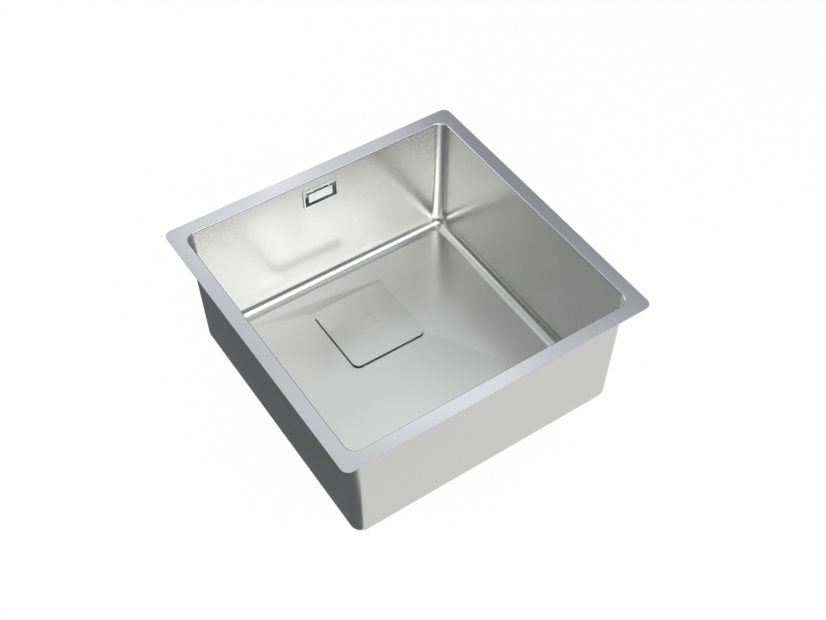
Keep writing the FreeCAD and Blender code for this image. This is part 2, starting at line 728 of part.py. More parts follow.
def make_basket_bush():
    # guide for the rod, with a groove for the grip ring
    bush = waste_part("basket_bush")
    bore = "rod_radius + fit_gap"
    groove = f"{bore} + 2 * ring_wire"
    middle = f"({basket_floor} - basket_sheet)"
    low, high = f"{middle} - ring_wire", f"{middle} + ring_wire"
    turned(bush, "bush", [
        (bore, bush_end, "0"),
        ("bush_radius", bush_end, "0"),
        ("bush_radius", basket_floor, "0"),
        ("bush_flange", basket_floor, "0"),
        ("bush_flange", f"{bush_top} - bush_flange_height / 2", "0"),
        ("bush_flange - bush_flange_height / 2", bush_top, "0"),
        (bore, bush_top, "0"),
        (bore, high, "0"),
        (groove, high, "0"),
        (groove, low, "0"),
        (bore, low, "0"),
    ])
    clip_foot = f"{middle} - clip_thickness"
    return [
        bush,
        make_ring("grip_ring", bore, groove, low, high),
        make_ring("bush_clip", "bush_radius + fit_gap", "bush_flange", clip_foot, middle),
    ]


def make_stopper():
    rod = waste_part("stopper_rod")
    stub = "rod_radius - rod_step"
    rod_top = f"{knob_foot} + knob_height - knob_cap"
    turned(rod, "rod", [
        ("0", f"{seal_foot} + seal_lip_height", "0"),
        (stub, f"{seal_foot} + seal_lip_height", "0"),
        (stub, rod_seat, "0"),
        ("rod_foot", rod_seat, "0"),
        ("rod_foot", f"{rod_seat} + rod_foot_height", "0"),
        ("rod_radius", f"{rod_seat} + rod_foot_height", "0"),
        ("rod_radius", rod_top, "0"),
        ("0", rod_top, "0"),
    ])
    disc = make_ring("stopper_disc", f"{stub} + fit_gap", disc_edge, seal_top, rod_seat)
    seal = waste_part("stopper_seal")
    turned(seal, "seal", [
        (f"{stub} + fit_gap", f"{seal_foot} + seal_lip_height", "0"),
        (f"{seal_edge} - seal_lip", f"{seal_foot} + seal_lip_height", "0"),
        (f"{seal_edge} - seal_lip / 2", seal_foot, "0"),
        (seal_edge, f"{seal_foot} + seal_lip_height / 3", "0"),
        (f"{disc_edge} + disc_thickness", seal_top, "0"),
        (f"{stub} + fit_gap", seal_top, "0"),
    ])
    knob = waste_part("stopper_knob")
    turned(knob, "knob", [
        ("rod_radius + fit_gap", knob_foot, "0"),
        ("knob_base", knob_foot, "0"),
        ("knob_radius / 2", f"{knob_foot} + knob_height / 3", "0"),
        ("knob_radius / 2", f"{knob_foot} + knob_height / 2", "0"),
        ("knob_radius", f"{knob_foot} + knob_height - 2 * knob_rim", "0"),
        ("knob_radius", f"{knob_foot} + knob_height - knob_rim", "0"),
        ("knob_radius - knob_rim", f"{knob_foot} + knob_height", "0"),
        ("0", f"{knob_foot} + knob_height", "0"),
        ("0", f"{rod_top} + fit_gap", "0"),
        ("rod_radius + fit_gap", f"{rod_top} + fit_gap", "0"),
    ])
    return [rod, disc, seal, knob]


def make_cover():
    plate = waste_part("drain_cover")
    flat = new_sketch(plate, "plate", "XY_Plane", cover_under)
    rectangle(flat, "cover_size", "cover_size", "cover_corner")
    pad(plate, flat, "cover_sheet")
    top = value(cover_top)
    bevel(plate, "cover_edge", lambda edge: edge.BoundBox.ZMin > top - hair, "soft_edge")
    # plain raised square in the middle
    flat = new_sketch(plate, "badge", "XY_Plane", cover_top)
    rectangle(flat, "badge_size", "badge_size")
    pad(plate, flat, "badge_height")
    high = value(f"{cover_top} + badge_height")
    bevel(plate, "badge_edge", lambda edge: edge.BoundBox.ZMin > high - hair, "badge_edge")
    # locating ring welded underneath, with windows that let the water through
    ring = waste_part("cover_ring")
    outer = f"{mouth} - cover_ring_clearance"
    foot = f"({basket_top} + cover_ring_lift)"
    flat = new_sketch(ring, "band", "XY_Plane", foot)
    circle(flat, outer)
    circle(flat, f"{outer} - cover_ring_wall")
    pad(ring, flat, f"{cover_under} - {foot}")
    flat = new_sketch(ring, "window", "YZ_Plane", "cup_radius / 2")
    rectangle(flat, "window_width", "window_height", y=f"(({cover_under} + {foot}) / 2)")
    around(ring, pocket(ring, flat, "cup_radius", along=True), "window_count")
    # four soft feet stuck under the corners
    feet = waste_part("cover_feet")
    flat = new_sketch(feet, "feet", "XY_Plane", cover_under)
    place = "(cover_size / 2 - foot_inset)"
    for across in ("", "0 - "):
        for along in ("", "0 - "):
            circle(flat, "foot_radius", x=across + place, y=along + place)
    pad(feet, flat, "foot_height", back=True)
    return [plate, ring, feet]


def make_overflow_frame():
    # polished casting: bezel on the wall, short tube through it, bar for the screws
    frame = wall_part("overflow_frame")
    flat = new_sketch(frame, "bezel", "XZ_Plane")
    rectangle(flat, "frame_width", "frame_height", "frame_corner")
    pad(frame, flat, "frame_proud")
    face = value("0 - frame_proud")
    bevel(frame, "frame_edge", lambda edge: edge.BoundBox.YMax < face + hair, "bezel_edge")
    flat = new_sketch(frame, "tube", "XZ_Plane")
    tube_width, tube_height = "(mouth_width + 2 * tube_wall)", "(mouth_height + 2 * tube_wall)"
    rectangle(flat, tube_width, tube_height, "mouth_corner + tube_wall")
    pad(frame, flat, "tube_depth", back=True)
    flat = new_sketch(frame, "mouth", "XZ_Plane", "frame_proud")
    rectangle(flat, "mouth_width", "mouth_height", "mouth_corner")
    pocket(frame, flat, "frame_proud + tube_depth")
    flat = new_sketch(frame, "bar", "XZ_Plane", "0 - tube_depth")
    rectangle(flat, "(mouth_width + tube_wall)", "bar_height")
    pad(frame, flat, "bar_thickness")
    flat = new_sketch(frame, "bar_holes", "XZ_Plane", "bar_thickness - tube_depth")
    for side in ("", "0 - "):
        circle(flat, "tap_radius + seat_gap", x=side + "tap_spacing / 2")
        circle(flat, "leg_radius + fit_gap", x=side + "leg_spacing / 2")
    pocket(frame, flat, "bar_thickness")
    return frame


def make_overflow_plate():
    # plain plate that floats in the mouth on two legs and hides the screws
    plate = wall_part("overflow_plate")
    flat = new_sketch(plate, "plate", "XZ_Plane", "plate_proud")
    rectangle(flat, "plate_width", "plate_height", "plate_corner")
    pad(plate, flat, "plate_thickness", back=True)
    face = value("0 - plate_proud")
    bevel(plate, "plate_edge", lambda edge: edge.BoundBox.YMax < face + hair, "plate_edge")
    flat = new_sketch(plate, "legs", "XZ_Plane", "plate_proud - plate_thickness")
    for side in ("", "0 - "):
        circle(flat, "leg_radius", x=side + "leg_spacing / 2")
    pad(plate, flat, "tube_depth + plate_proud - plate_thickness", back=True)
    return plate


def make_overflow_screws():
    screws = wall_part("overflow_screws")
    bar_front = "(bar_thickness - tube_depth)"
    for name, radius, lift, length in (
            ("heads", "tap_head", f"{bar_front} + tap_head_height", "tap_head_height"),
            ("shanks", "tap_radius", bar_front, "tap_length")):
        flat = new_sketch(screws, name, "XZ_Plane", lift)
        for side in ("", "0 - "):
            circle(flat, radius, x=side + "tap_spacing / 2")
        pad(screws, flat, length, back=True)
    face = value(f"0 - {bar_front} - tap_head_height")
    bevel(screws, "tap_head_edge", lambda edge: edge.BoundBox.YMax < face + hair, "head_edge")
    return screws


def make_overflow_gasket():
    gasket = wall_part("overflow_gasket")
    flat = new_sketch(gasket, "ring", "XZ_Plane", "0 - sheet")
    rectangle(flat, "housing_width", "housing_height", "housing_corner")
    wall_hole(flat)
    pad(gasket, flat, "back_gasket", back=True)
    return gasket


def make_overflow_housing():
    # moulded chamber behind the wall: clamping flange, box, and a spigot down for the hose
    made = wall_part("overflow_housing")
    box_width, box_height = "(housing_width - 2 * housing_lip)", "(housing_height - 2 * housing_lip)"
    flat = new_sketch(made, "flange", "XZ_Plane", f"0 - {housing_face}")
    rectangle(flat, "housing_width", "housing_height", "housing_corner")
    pad(made, flat, "housing_flange", back=True)
    flat = new_sketch(made, "box", "XZ_Plane", f"0 - {housing_face}")
    rectangle(flat, box_width, box_height, "housing_corner")
    pad(made, flat, "housing_depth", back=True)
    back = value(f"{housing_face} + housing_depth")
    bevel(made, "housing_edge", lambda edge: edge.BoundBox.YMin > back - hair, "box_edge")
    # spigot: a tube with a coned top, sunk in the back of the box
    turned(made, "spigot", [
        ("0", "0 - spigot_drop", "0"),
        ("spigot_radius", "0 - spigot_drop", "0"),
        ("spigot_radius", "spigot_top - spigot_radius / 2", "0"),
        ("spigot_radius / 2", "spigot_top", "0"),
        ("0", "spigot_top", "0"),
    ], axis=spigot_out)
    # chamber, open at the front, then the bore down through the spigot
    flat = new_sketch(made, "chamber", "XZ_Plane", f"0 - {housing_face}")
    chamber_width = f"({box_width} - 2 * housing_wall)"
    chamber_height = "(mouth_height + 2 * tube_wall + 2 * hole_gap)"
    rectangle(flat, chamber_width, chamber_height, "mouth_corner + tube_wall")
    pocket(made, flat, "housing_depth - housing_wall")
    flat = new_sketch(made, "bore", "XY_Plane", "0 - spigot_drop")
    circle(flat, "spigot_bore", y=spigot_out)
    pocket(made, flat, "spigot_drop + spigot_top - spigot_radius / 2", along=True)
    # bosses for the two screws, from the chamber's back to the frame's bar
    flat = new_sketch(made, "bosses", "XZ_Plane", "0 - tube_depth - seat_gap")
    for side in ("", "0 - "):
        circle(flat, "tap_boss", x=side + "tap_spacing / 2")
    pad(made, flat, f"{housing_face} + housing_depth - housing_wall / 2 - tube_depth - seat_gap", back=True)
    flat = new_sketch(made, "boss_holes", "XZ_Plane", "0 - tube_depth - seat_gap")
    for side in ("", "0 - "):
        circle(flat, "tap_radius + fit_gap", x=side + "tap_spacing / 2")
    pocket(made, flat, "tap_length")
    return made


def make_union(where, at_top):
    # flat washer and fluted nut that hold the hose's collar on the spigot
    washer = union_part(f"hose_washer_{where}", at_top)
    flat = new_sketch(washer, "ring", "XY_Plane")
    circle(flat, "spigot_radius - 2 * fit_gap")
    circle(flat, "spigot_bore")
    pad(washer, flat, "washer_thickness")
    nut = union_part(f"hose_nut_{where}", at_top)
    shoulder = "(washer_thickness + hose_collar + fit_gap)"
    turned(nut, "shell", [
        ("spigot_radius + fit_gap", "0 - nut_cover", "0"),
        (nut_radius, "0 - nut_cover", "0"),
        (nut_radius, f"{shoulder} + nut_lip / 2", "0"),
        (f"{nut_radius} - nut_lip / 2", f"{shoulder} + nut_lip", "0"),
        ("hose_root + 2 * seat_gap", f"{shoulder} + nut_lip", "0"),
        ("hose_root + 2 * seat_gap", shoulder, "0"),
        ("spigot_radius + fit_gap", shoulder, "0"),
    ])
    flat = new_sketch(nut, "flute", "XY_Plane", "0 - nut_cover")
    circle(flat, "nut_flute", x=f"{nut_radius} + nut_flute - flute_depth")
    around(nut, pocket(nut, flat, "nut_cover + washer_thickness", along=True), "flute_count")
    return [washer, nut]


def arc_run(start, corner, end, radius):
    # straight, arc, straight: the tangent points and the middle of the arc
    back = (start - corner).normalize()
    ahead = (end - corner).normalize()
    half = back.getAngle(ahead) / 2
    centre = corner + (back + ahead).normalize() * (radius / math.sin(half))
    entry = corner + back * (radius / math.tan(half))
    leave = corner + ahead * (radius / math.tan(half))
    middle = centre + (corner - centre).normalize() * radius
    return entry, middle, leave, centre


def make_hose():
    # corrugated tube down behind the bowl and under it to the waste's side port
    tilt = math.radians(value("wall_draft"))
    top_y, top_z = wall_place(spigot_out, "(0 - spigot_drop)")
    down = FreeCAD.Vector(0, -math.sin(tilt), -math.cos(tilt))
    ahead = FreeCAD.Vector(0, -1, 0)
    washer = value("washer_thickness")
    start = FreeCAD.Vector(0, value(top_y), value(top_z)) + down * washer
    port_y, port_z = value(f"{drain_y} + {port_reach}"), value(f"0 - {seat_depth} - port_drop")
    end = FreeCAD.Vector(0, port_y + washer, port_z)
    corner = start + down * ((start.z - end.z) / math.cos(tilt))
    cuff = 2 * value("hose_crest")
    turn = (start - corner).getAngle(end - corner)
    radius = ((corner - end).Length - cuff) * math.tan(turn / 2)
    entry, middle, leave, centre = arc_run(start, corner, end, radius)
    bend = radius * (math.pi - turn)
    upright = (entry - start).Length
    total = upright + bend + (end - leave).Length
    print(f"hose: {total:.1f} mm long, bend radius {radius:.1f} mm")

    def station(at):
        # the point at this length along the route, and the way it runs there
        if at < upright:
            return start + down * at, down
        if at > upright + bend:
            return end - ahead * (total - at), ahead
        swing = (at - upright) / radius
        spoke = FreeCAD.Rotation(FreeCAD.Vector(-1, 0, 0), math.degrees(swing)).multVec(entry - centre)
        way = FreeCAD.Rotation(FreeCAD.Vector(-1, 0, 0), math.degrees(swing)).multVec(down)
        return centre + spoke, way

    def ring(at, size):
        spot, way = station(at)
        # every circle starts on the same side, so that the ribs don't twist
        across = FreeCAD.Vector(1, 0, 0)
        axes = FreeCAD.Rotation(across, way.cross(across), way, "ZXY")
        edge = Part.Circle(FreeCAD.Vector(), FreeCAD.Vector(0, 0, 1), size).toShape()
        edge.Placement = FreeCAD.Placement(spot, axes)
        return Part.Wire(edge)

    root, crest, collar = value("hose_root"), value("hose_crest"), value("hose_collar")
    step = value("fit_gap")
    lip = value("spigot_radius") - 4 * step
    count = int((total - 2 * cuff) / value("hose_pitch"))
    pitch = (total - 2 * cuff) / count
    rings = [ring(0, lip), ring(collar, lip), ring(collar + step, root)]
    # one rib: where along the pitch each circle stands, and its radius
    rib = ((0.05, root), (0.3, crest), (0.6, crest), (0.85, root))
    for i in range(count):
        for share, size in rib:
            rings.append(ring(cuff + (i + share) * pitch, size))
    rings += [ring(total - collar - step, root), ring(total - collar, lip), ring(total, lip)]
    outside = Part.makeLoft(rings, True, True)
    path = Part.Wire([Part.LineSegment(start, entry).toShape(), Part.Arc(entry, middle, leave).toShape(),
                      Part.LineSegment(leave, end).toShape()])
    bore = value("hose_bore")
    core = path.makePipeShell([ring(0, bore)], True, False)
    expected = math.pi * bore ** 2 * total
    if abs(core.Volume - expected) > 0.01 * expected:
        raise RuntimeError(f"the hose's bore holds {core.Volume:.0f}, not {expected:.0f}")
    hose = doc.addObject("Part::Feature", "overflow_hose")
    hose.Label = "overflow_hose"
    hose.Shape = outside.cut(core)
    return hose


parts = [make_bowl(), make_sound_pad(), make_strainer()]
parts += make_seals()
parts += [make_waste_body(), make_clamp_screw(), make_screw_insert(), make_basket()]
parts += make_basket_bush()
parts += make_stopper()
parts += make_cover()
parts += [make_overflow_frame(), make_overflow_plate(), make_overflow_screws(), make_overflow_gasket()]
parts.append(make_overflow_housing())
parts += make_union("top", True)
parts += make_union("bottom", False)
parts.append(make_hose())

doc.recompute()
for item in doc.Objects:
    if "Invalid" in item.State or "Error" in item.State:
        raise RuntimeError(f"{item.Label} failed: {item.State}")
os.makedirs("parts", exist_ok=True)
for part in parts:
    shape = part.Shape
    if shape.isNull() or not shape.isValid() or not shape.Solids:
        raise RuntimeError(f"{part.Label} is not a valid solid")
for part in parts:
    part.Shape.exportStep(f"parts/{part.Label}.step")
    box = part.Shape.BoundBox
    print(f"{part.Label}: {len(part.Shape.Solids)} solids, {part.Shape.Volume:.0f} mm3, "
          f"z {box.ZMin:.1f} to {box.ZMax:.1f}")
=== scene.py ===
import json
import math

import bmesh
import bpy
from mathutils import Matrix, Vector

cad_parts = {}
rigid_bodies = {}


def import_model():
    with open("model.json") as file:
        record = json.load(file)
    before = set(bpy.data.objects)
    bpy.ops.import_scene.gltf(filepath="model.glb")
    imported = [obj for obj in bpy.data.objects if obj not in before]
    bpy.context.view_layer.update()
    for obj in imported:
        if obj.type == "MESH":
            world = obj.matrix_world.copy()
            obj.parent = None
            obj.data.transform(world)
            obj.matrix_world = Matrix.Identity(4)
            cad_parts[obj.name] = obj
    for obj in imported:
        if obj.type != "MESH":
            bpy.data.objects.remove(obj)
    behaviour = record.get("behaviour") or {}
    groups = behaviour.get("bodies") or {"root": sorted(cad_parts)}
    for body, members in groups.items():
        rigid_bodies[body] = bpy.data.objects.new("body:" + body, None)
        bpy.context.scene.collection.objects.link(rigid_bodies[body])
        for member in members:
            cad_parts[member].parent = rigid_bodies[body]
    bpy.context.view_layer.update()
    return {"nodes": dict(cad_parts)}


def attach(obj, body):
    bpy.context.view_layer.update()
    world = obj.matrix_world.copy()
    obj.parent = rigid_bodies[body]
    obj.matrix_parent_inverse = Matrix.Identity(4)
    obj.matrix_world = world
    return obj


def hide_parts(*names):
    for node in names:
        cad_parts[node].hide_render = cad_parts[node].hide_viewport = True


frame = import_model()
print("frame loaded:", len(frame["nodes"]), "nodes")

mm = 0.001
hair, near, loose = 1e-6, 1e-5, 1e-4           # metres within which places count as one
draft = math.radians(1.37)                     # lean of the bowl's walls
drain = Vector((0, 85, -199)) * mm             # middle of the recess floor
overflowSpot = Vector((0, 200 - 31 * math.tan(draft), -31)) * mm
onDrain = Matrix.Translation(drain)
onWall = Matrix.Translation(overflowSpot) @ Matrix.Rotation(-draft, 4, "X")
# ends of the overflow's spigot and of the waste's side port, z running into the hose
onSpigot = onWall @ Matrix.Translation(Vector((0, 17.95, -38)) * mm) @ Matrix.Rotation(math.pi, 4, "X")
onPort = Matrix.Translation(drain + Vector((0, 66, -26)) * mm) @ Matrix.Rotation(-math.pi / 2, 4, "X")

cameraView = {
    "azimuth": -33.89, "elevation": 49.46, "distance": 1.52467,
    "target": (-0.02626, -0.06423, 0), "lens": 54.887, "sensor": 36,
}


def wayTo(azimuth, elevation):
    # from the sink towards a camera or lamp; azimuth 0 is the front and 90 the right
    turn, rise = math.radians(azimuth), math.radians(elevation)
    return Vector((math.sin(turn) * math.cos(rise), -math.cos(turn) * math.cos(rise), math.sin(rise)))


def makeCamera():
    back = wayTo(cameraView["azimuth"], cameraView["elevation"])
    data = bpy.data.cameras.new("photoCamera")
    data.lens = cameraView["lens"]
    data.sensor_width = cameraView["sensor"]
    data.clip_end = 20
    camera = bpy.data.objects.new("photoCamera", data)
    bpy.context.scene.collection.objects.link(camera)
    camera.location = Vector(cameraView["target"]) + back * cameraView["distance"]
    camera.rotation_mode = "QUATERNION"
    camera.rotation_quaternion = (-back).to_track_quat("-Z", "Y")
    bpy.context.scene.camera = camera


def deselectAll():
    for other in bpy.context.view_layer.objects:
        other.select_set(False)


def startEdit(piece):
    deselectAll()
    piece.select_set(True)
    bpy.context.view_layer.objects.active = piece
    bpy.ops.object.mode_set(mode="EDIT")
    bpy.ops.mesh.select_mode(type="VERT")
    bpy.ops.mesh.select_all(action="DESELECT")


def endEdit():
    bpy.ops.object.mode_set(mode="OBJECT")


def pick(piece, kind, test):
    # selects the verts, edges or faces that pass the test
    bpy.ops.mesh.select_mode(type=kind)
    bpy.ops.mesh.select_all(action="DESELECT")
    mesh = bmesh.from_edit_mesh(piece.data)
    found = 0
    for item in {"VERT": mesh.verts, "EDGE": mesh.edges, "FACE": mesh.faces}[kind]:
        if test(item):
            item.select_set(True)
            found += 1
    mesh.select_flush_mode()
    bmesh.update_edit_mesh(piece.data)
    if not found:
        raise RuntimeError(f"{piece.name}: nothing picked")


def middle(edge):
    return (edge.verts[0].co + edge.verts[1].co) / 2


def span(edge):
    return edge.verts[1].co - edge.verts[0].co


def grow(scale, centre):
    bpy.ops.transform.resize(value=scale, center_override=tuple(centre))


def shift(x=0, y=0, z=0):
    bpy.ops.transform.translate(value=(x, y, z))


def namePiece(piece, name):
    piece.name = name
    piece.data.name = name
    return piece


def mergeAll():
    bpy.ops.mesh.select_all(action="SELECT")
    bpy.ops.mesh.remove_doubles(threshold=hair)
    bpy.ops.mesh.normals_make_consistent(inside=False)


def addBlock(name, size, centre, rounding=0, along=None):
    # a box in millimetres; rounding softens the edges that run along the given axis, or all of them
    deselectAll()
    bpy.ops.mesh.primitive_cube_add(size=1, location=(0, 0, 0))
    piece = namePiece(bpy.context.object, name)
    startEdit(piece)
    bpy.ops.mesh.select_all(action="SELECT")
    grow(Vector(size) * mm, (0, 0, 0))
    shift(*(Vector(centre) * mm))
    if rounding:
        pick(piece, "EDGE", lambda edge: along is None or abs(span(edge)[along]) > hair)
        bpy.ops.mesh.bevel(offset=rounding * mm, segments=6, affect="EDGES")
    endEdit()
    return piece


def addRod(name, radius, low, high, spot=(0, 0), axis="Z", steps=48, copies=1):
    # a round bar between two places on its axis; copies stand evenly round the z axis
    deselectAll()
    bpy.ops.mesh.primitive_cylinder_add(vertices=steps, radius=radius * mm, depth=(high - low) * mm)
    piece = namePiece(bpy.context.object, name)
    centre = (high + low) / 2
    if axis == "Y":      # the bar lies along y, and spot is its x and z
        place(piece, Matrix.Rotation(math.pi / 2, 4, "X"))
        place(piece, Matrix.Translation(Vector((spot[0], centre, spot[1])) * mm))
    else:
        place(piece, Matrix.Translation(Vector((*spot, centre)) * mm))
    if copies > 1:
        spreadRound(piece, copies)
    return piece


def spreadRound(piece, copies):
    startEdit(piece)
    bpy.ops.mesh.select_all(action="SELECT")
    bpy.ops.mesh.spin(steps=copies - 1, dupli=True, angle=2 * math.pi * (copies - 1) / copies,
                      center=(0, 0, 0), axis=(0, 0, 1))
    endEdit()


def turnPiece(name, corners, steps=96):
    # a section spun round the z axis; each corner is distance out, height and how far it is rounded
    deselectAll()
    bpy.ops.mesh.primitive_circle_add(vertices=len(corners), radius=0.01, fill_type="NGON")
    piece = namePiece(bpy.context.object, name)
    startEdit(piece)
    mesh = bmesh.from_edit_mesh(piece.data)
    for vert, (out, up, rounding) in zip(mesh.verts, corners):
        vert.co = Vector((out, 0, up)) * mm
    bmesh.update_edit_mesh(piece.data)
    for out, up, rounding in corners:
        if rounding:
            spot = Vector((out, 0, up)) * mm
            pick(piece, "VERT", lambda vert: (vert.co - spot).length < hair)
            bpy.ops.mesh.bevel(affect="VERTICES", offset=rounding * mm,
                               segments=4 if rounding < 1.2 else 7)
    bpy.ops.mesh.select_all(action="SELECT")
    bpy.ops.mesh.delete(type="ONLY_FACE")
    bpy.ops.mesh.select_all(action="SELECT")
    bpy.ops.mesh.spin(steps=steps, angle=2 * math.pi, center=(0, 0, 0), axis=(0, 0, 1))
    mergeAll()
    endEdit()
    return piece


def place(piece, matrix):
    piece.data.transform(matrix)
    return piece


def roundFace(y):
    # a test for the edges round a face that looks forward or back and stands at y millimetres
    return lambda edge: abs(middle(edge).y - y * mm) < hair and abs(span(edge).y) < hair


def useModifier(piece, kind, **settings):
    made = piece.modifiers.new(kind.lower(), kind)
    for key, setting in settings.items():
        setattr(made, key, setting)
    deselectAll()
    piece.select_set(True)
    bpy.context.view_layer.objects.active = piece
    bpy.ops.object.modifier_apply(modifier=made.name)


def combine(piece, others, how):
    for other in others:
        useModifier(piece, "BOOLEAN", operation=how, solver="EXACT", object=other)
        bpy.data.objects.remove(other)
    return piece


def cutAway(piece, *others):
    return combine(piece, others, "DIFFERENCE")


def weld(piece, *others):
    return combine(piece, others, "UNION")


def softenEdges(piece, width, segments=2, angle=60):
    useModifier(piece, "BEVEL", width=width * mm, segments=segments, limit_method="ANGLE",
                angle_limit=math.radians(angle), harden_normals=False)


def smoothPiece(piece, angle=35):
    # round parts shade smoothly, and flat faces stay flat beside them
    deselectAll()
    piece.select_set(True)
    bpy.context.view_layer.objects.active = piece
    bpy.ops.object.shade_smooth_by_angle(angle=math.radians(angle))
    useModifier(piece, "WEIGHTED_NORMAL", mode="FACE_AREA", keep_sharp=True, weight=90)


def finishPiece(piece, body, slot, *nodes):
    piece.data.materials.clear()
    piece.data.materials.append(finishes[slot])
    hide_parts(*nodes)
    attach(piece, body)


class NodeTree:
    # short ways to add and join shader nodes
    def __init__(self, name):
        self.material = bpy.data.materials.new(name)
        self.material.use_nodes = True
        self.nodes = self.material.node_tree.nodes
        self.links = self.material.node_tree.links
        self.shader = self.nodes["Principled BSDF"]

    def add(self, kind, inputs=None, **settings):
        node = self.nodes.new("ShaderNode" + kind)
        for key, setting in settings.items():
            setattr(node, key, setting)
        for key, value in (inputs or {}).items():
            if isinstance(value, bpy.types.NodeSocket):
                self.links.new(value, node.inputs[key])
            else:
                node.inputs[key].default_value = value
        return node

    def join(self, socket, target):
        self.links.new(socket, self.shader.inputs[target])

    def noise(self, scale, stretch=(1, 1, 1), detail=3, roughness=0.5):
        # noise over the piece's own place in metres, drawn out along an axis by stretch
        spot = self.add("TexCoord").outputs["Object"]
        drawn = self.add("Mapping", {"Vector": spot, "Scale": stretch}).outputs["Vector"]
        made = self.add("TexNoise", {"Vector": drawn, "Scale": scale, "Detail": detail,
                                     "Roughness": roughness})
        return made.outputs["Fac"]

    def ramp(self, value, low, high, start=0.0, end=1.0):
        made = self.add("MapRange", {"Value": value, "From Min": start, "From Max": end,
                                     "To Min": low, "To Max": high})
        return made.outputs["Result"]

    def maths(self, operation, first, second=0.0):
        return self.add("Math", {0: first, 1: second}, operation=operation).outputs[0]

    def along(self, vector, axis):
        return self.add("SeparateXYZ", {"Vector": vector}).outputs[axis]

    def mixed(self, factor, first, second):
        made = self.add("Mix", data_type="RGBA")
        self.links.new(factor, made.inputs[0])
        for socket, colour in ((made.inputs[6], first), (made.inputs[7], second)):
            if isinstance(colour, bpy.types.NodeSocket):
                self.links.new(colour, socket)
            else:
                socket.default_value = (*colour, 1)
        return made.outputs[2]

    def bumped(self, height, strength, distance):
        made = self.add("Bump", {"Height": height, "Strength": strength, "Distance": distance * mm})
        self.join(made.outputs["Normal"], "Normal")


cloudSpan = (0.3, 0.7)        # the part of a noise's range that most of it fills

satinSteel = {
    # the flange's steel colour is a painted reflection of what the upward-facing rim sees
    "colour": (0.645, 0.645, 0.63), "shade": (0.62, 0.62, 0.605), "rimReflectionTint": (0.575, 0.58, 0.6),
    "roughness": (0.225, 0.255), "rimShine": 0.06, "rimHeights": (-2.2, -0.6),
    "cutRough": 0, "cutSpan": (0.2, 0.8), "flatSpan": (0.4, 0.9),
    "grain": 700, "drawnOut": 0.02, "grainRough": 0.007, "grainStrength": 0.5, "grainDepth": 0.0002,
    "marks": 9,
}
coverSteel = dict(satinSteel, roughness=(0.2, 0.24), marks=30, cutRough=0.35)

metalFinishes = {          # colour, roughness, scale and depth of the unevenness, inner roughness
    "waste_steel": ("wasteSteel", (0.64, 0.64, 0.635), (0.16, 0.24), 60, 0.0008),
    "screw_steel": ("screwSteel", (0.58, 0.58, 0.59), (0.2, 0.3), 200, 0.0008),
    "overflow_chrome": ("overflowChrome", (0.66, 0.665, 0.675), (0.16, 0.22), 40, 0.0005, 0.3),
    "insert_brass": ("insertBrass", (0.72, 0.55, 0.25), (0.25, 0.36), 150, 0.0008),
}
rubberFinishes = {         # colour, scale and depth of the grain
    "damping_rubber": ("dampingRubber", (0.1, 0.1, 0.11), 500, 0.08),
    "seal_rubber": ("sealRubber", (0.06, 0.06, 0.06), 1200, 0.03),
    "stopper_rubber": ("stopperRubber", (0.12, 0.12, 0.12), 1200, 0.03),
    "feet_rubber": ("feetRubber", (0.2, 0.2, 0.2), 1200, 0.03),
}
plasticFinishes = {        # colour, roughness, scale and depth of the grain
    "waste_plastic": ("wastePlastic", (0.86, 0.86, 0.85), (0.38, 0.5), 900, 0.02),
    "nut_plastic": ("nutPlastic", (0.82, 0.82, 0.81), (0.35, 0.46), 700, 0.03),
    "hose_plastic": ("hosePlastic", (0.78, 0.78, 0.77), (0.3, 0.42), 400, 0.02),
    "bush_plastic": ("bushPlastic", (0.3, 0.31, 0.32), (0.2, 0.3), 1200, 0.006),
}
metalLook = {"shade": 0.94, "finer": 10, "strength": 0.4, "awaySpan": (-0.2, -0.05)}
rubberLook = {"dust": 140, "dustRoughness": 0.65, "dustSpan": (0.45, 0.75), "paler": 1.5,
              "lift": 0.01, "roughness": (0.62, 0.8), "strength": 0.5}
plasticLook = {"cloud": 25, "shade": 0.95, "strength": 0.35}
finishes = {}


def darker(colour, share):
    return tuple(part * share for part in colour)


def brushedSteel(name, finish, flatAxis=0):
    # grain runs level along the walls, and along one axis where the sheet lies flat
    tree = NodeTree(name)
    tree.shader.inputs["Metallic"].default_value = 1
    drawn = finish["drawnOut"]
    flat = tree.noise(finish["grain"], [(drawn, 1, 1), (1, drawn, 1)][flatAxis], 2)
    wall = tree.noise(finish["grain"], (drawn, drawn, 1), 2)
    upright = tree.along(tree.add("NewGeometry").outputs["True Normal"], "Z")
    level = tree.ramp(tree.maths("ABSOLUTE", upright), 0, 1, *finish["flatSpan"])
    blend = tree.add("Mix", data_type="FLOAT")
    for index, socket in ((0, level), (2, wall), (3, flat)):
        tree.links.new(socket, blend.inputs[index])
    grain = blend.outputs[0]
    marks = tree.noise(finish["marks"], (1, 1, 1), 4)
    rough = tree.ramp(marks, *finish["roughness"], *cloudSpan)
    rough = tree.maths("ADD", rough, tree.ramp(grain, -finish["grainRough"], finish["grainRough"]))
    # the flange is ground a little brighter than the bowl
    height = tree.along(tree.add("TexCoord").outputs["Object"], "Z")
    rimFrom, rimTo = (edge * mm for edge in finish["rimHeights"])
    rough = tree.maths("SUBTRACT", rough, tree.ramp(height, 0, finish["rimShine"], rimFrom, rimTo))
    # cut edges and the back of the sheet stay matt
    rough = tree.maths("ADD", rough, tree.ramp(upright, finish["cutRough"], 0, *finish["cutSpan"]))
    tree.join(rough, "Roughness")
    # painted reflection: the flange gets a cooler, darker steel colour in place of what it reflects from
    # above
    onRim = tree.ramp(height, 0, 1, rimFrom, rimTo)
    steel = tree.mixed(grain, finish["shade"], finish["colour"])
    tree.join(tree.mixed(onRim, steel, finish["rimReflectionTint"]), "Base Color")
    tree.bumped(grain, finish["grainStrength"], finish["grainDepth"])
    return tree.material


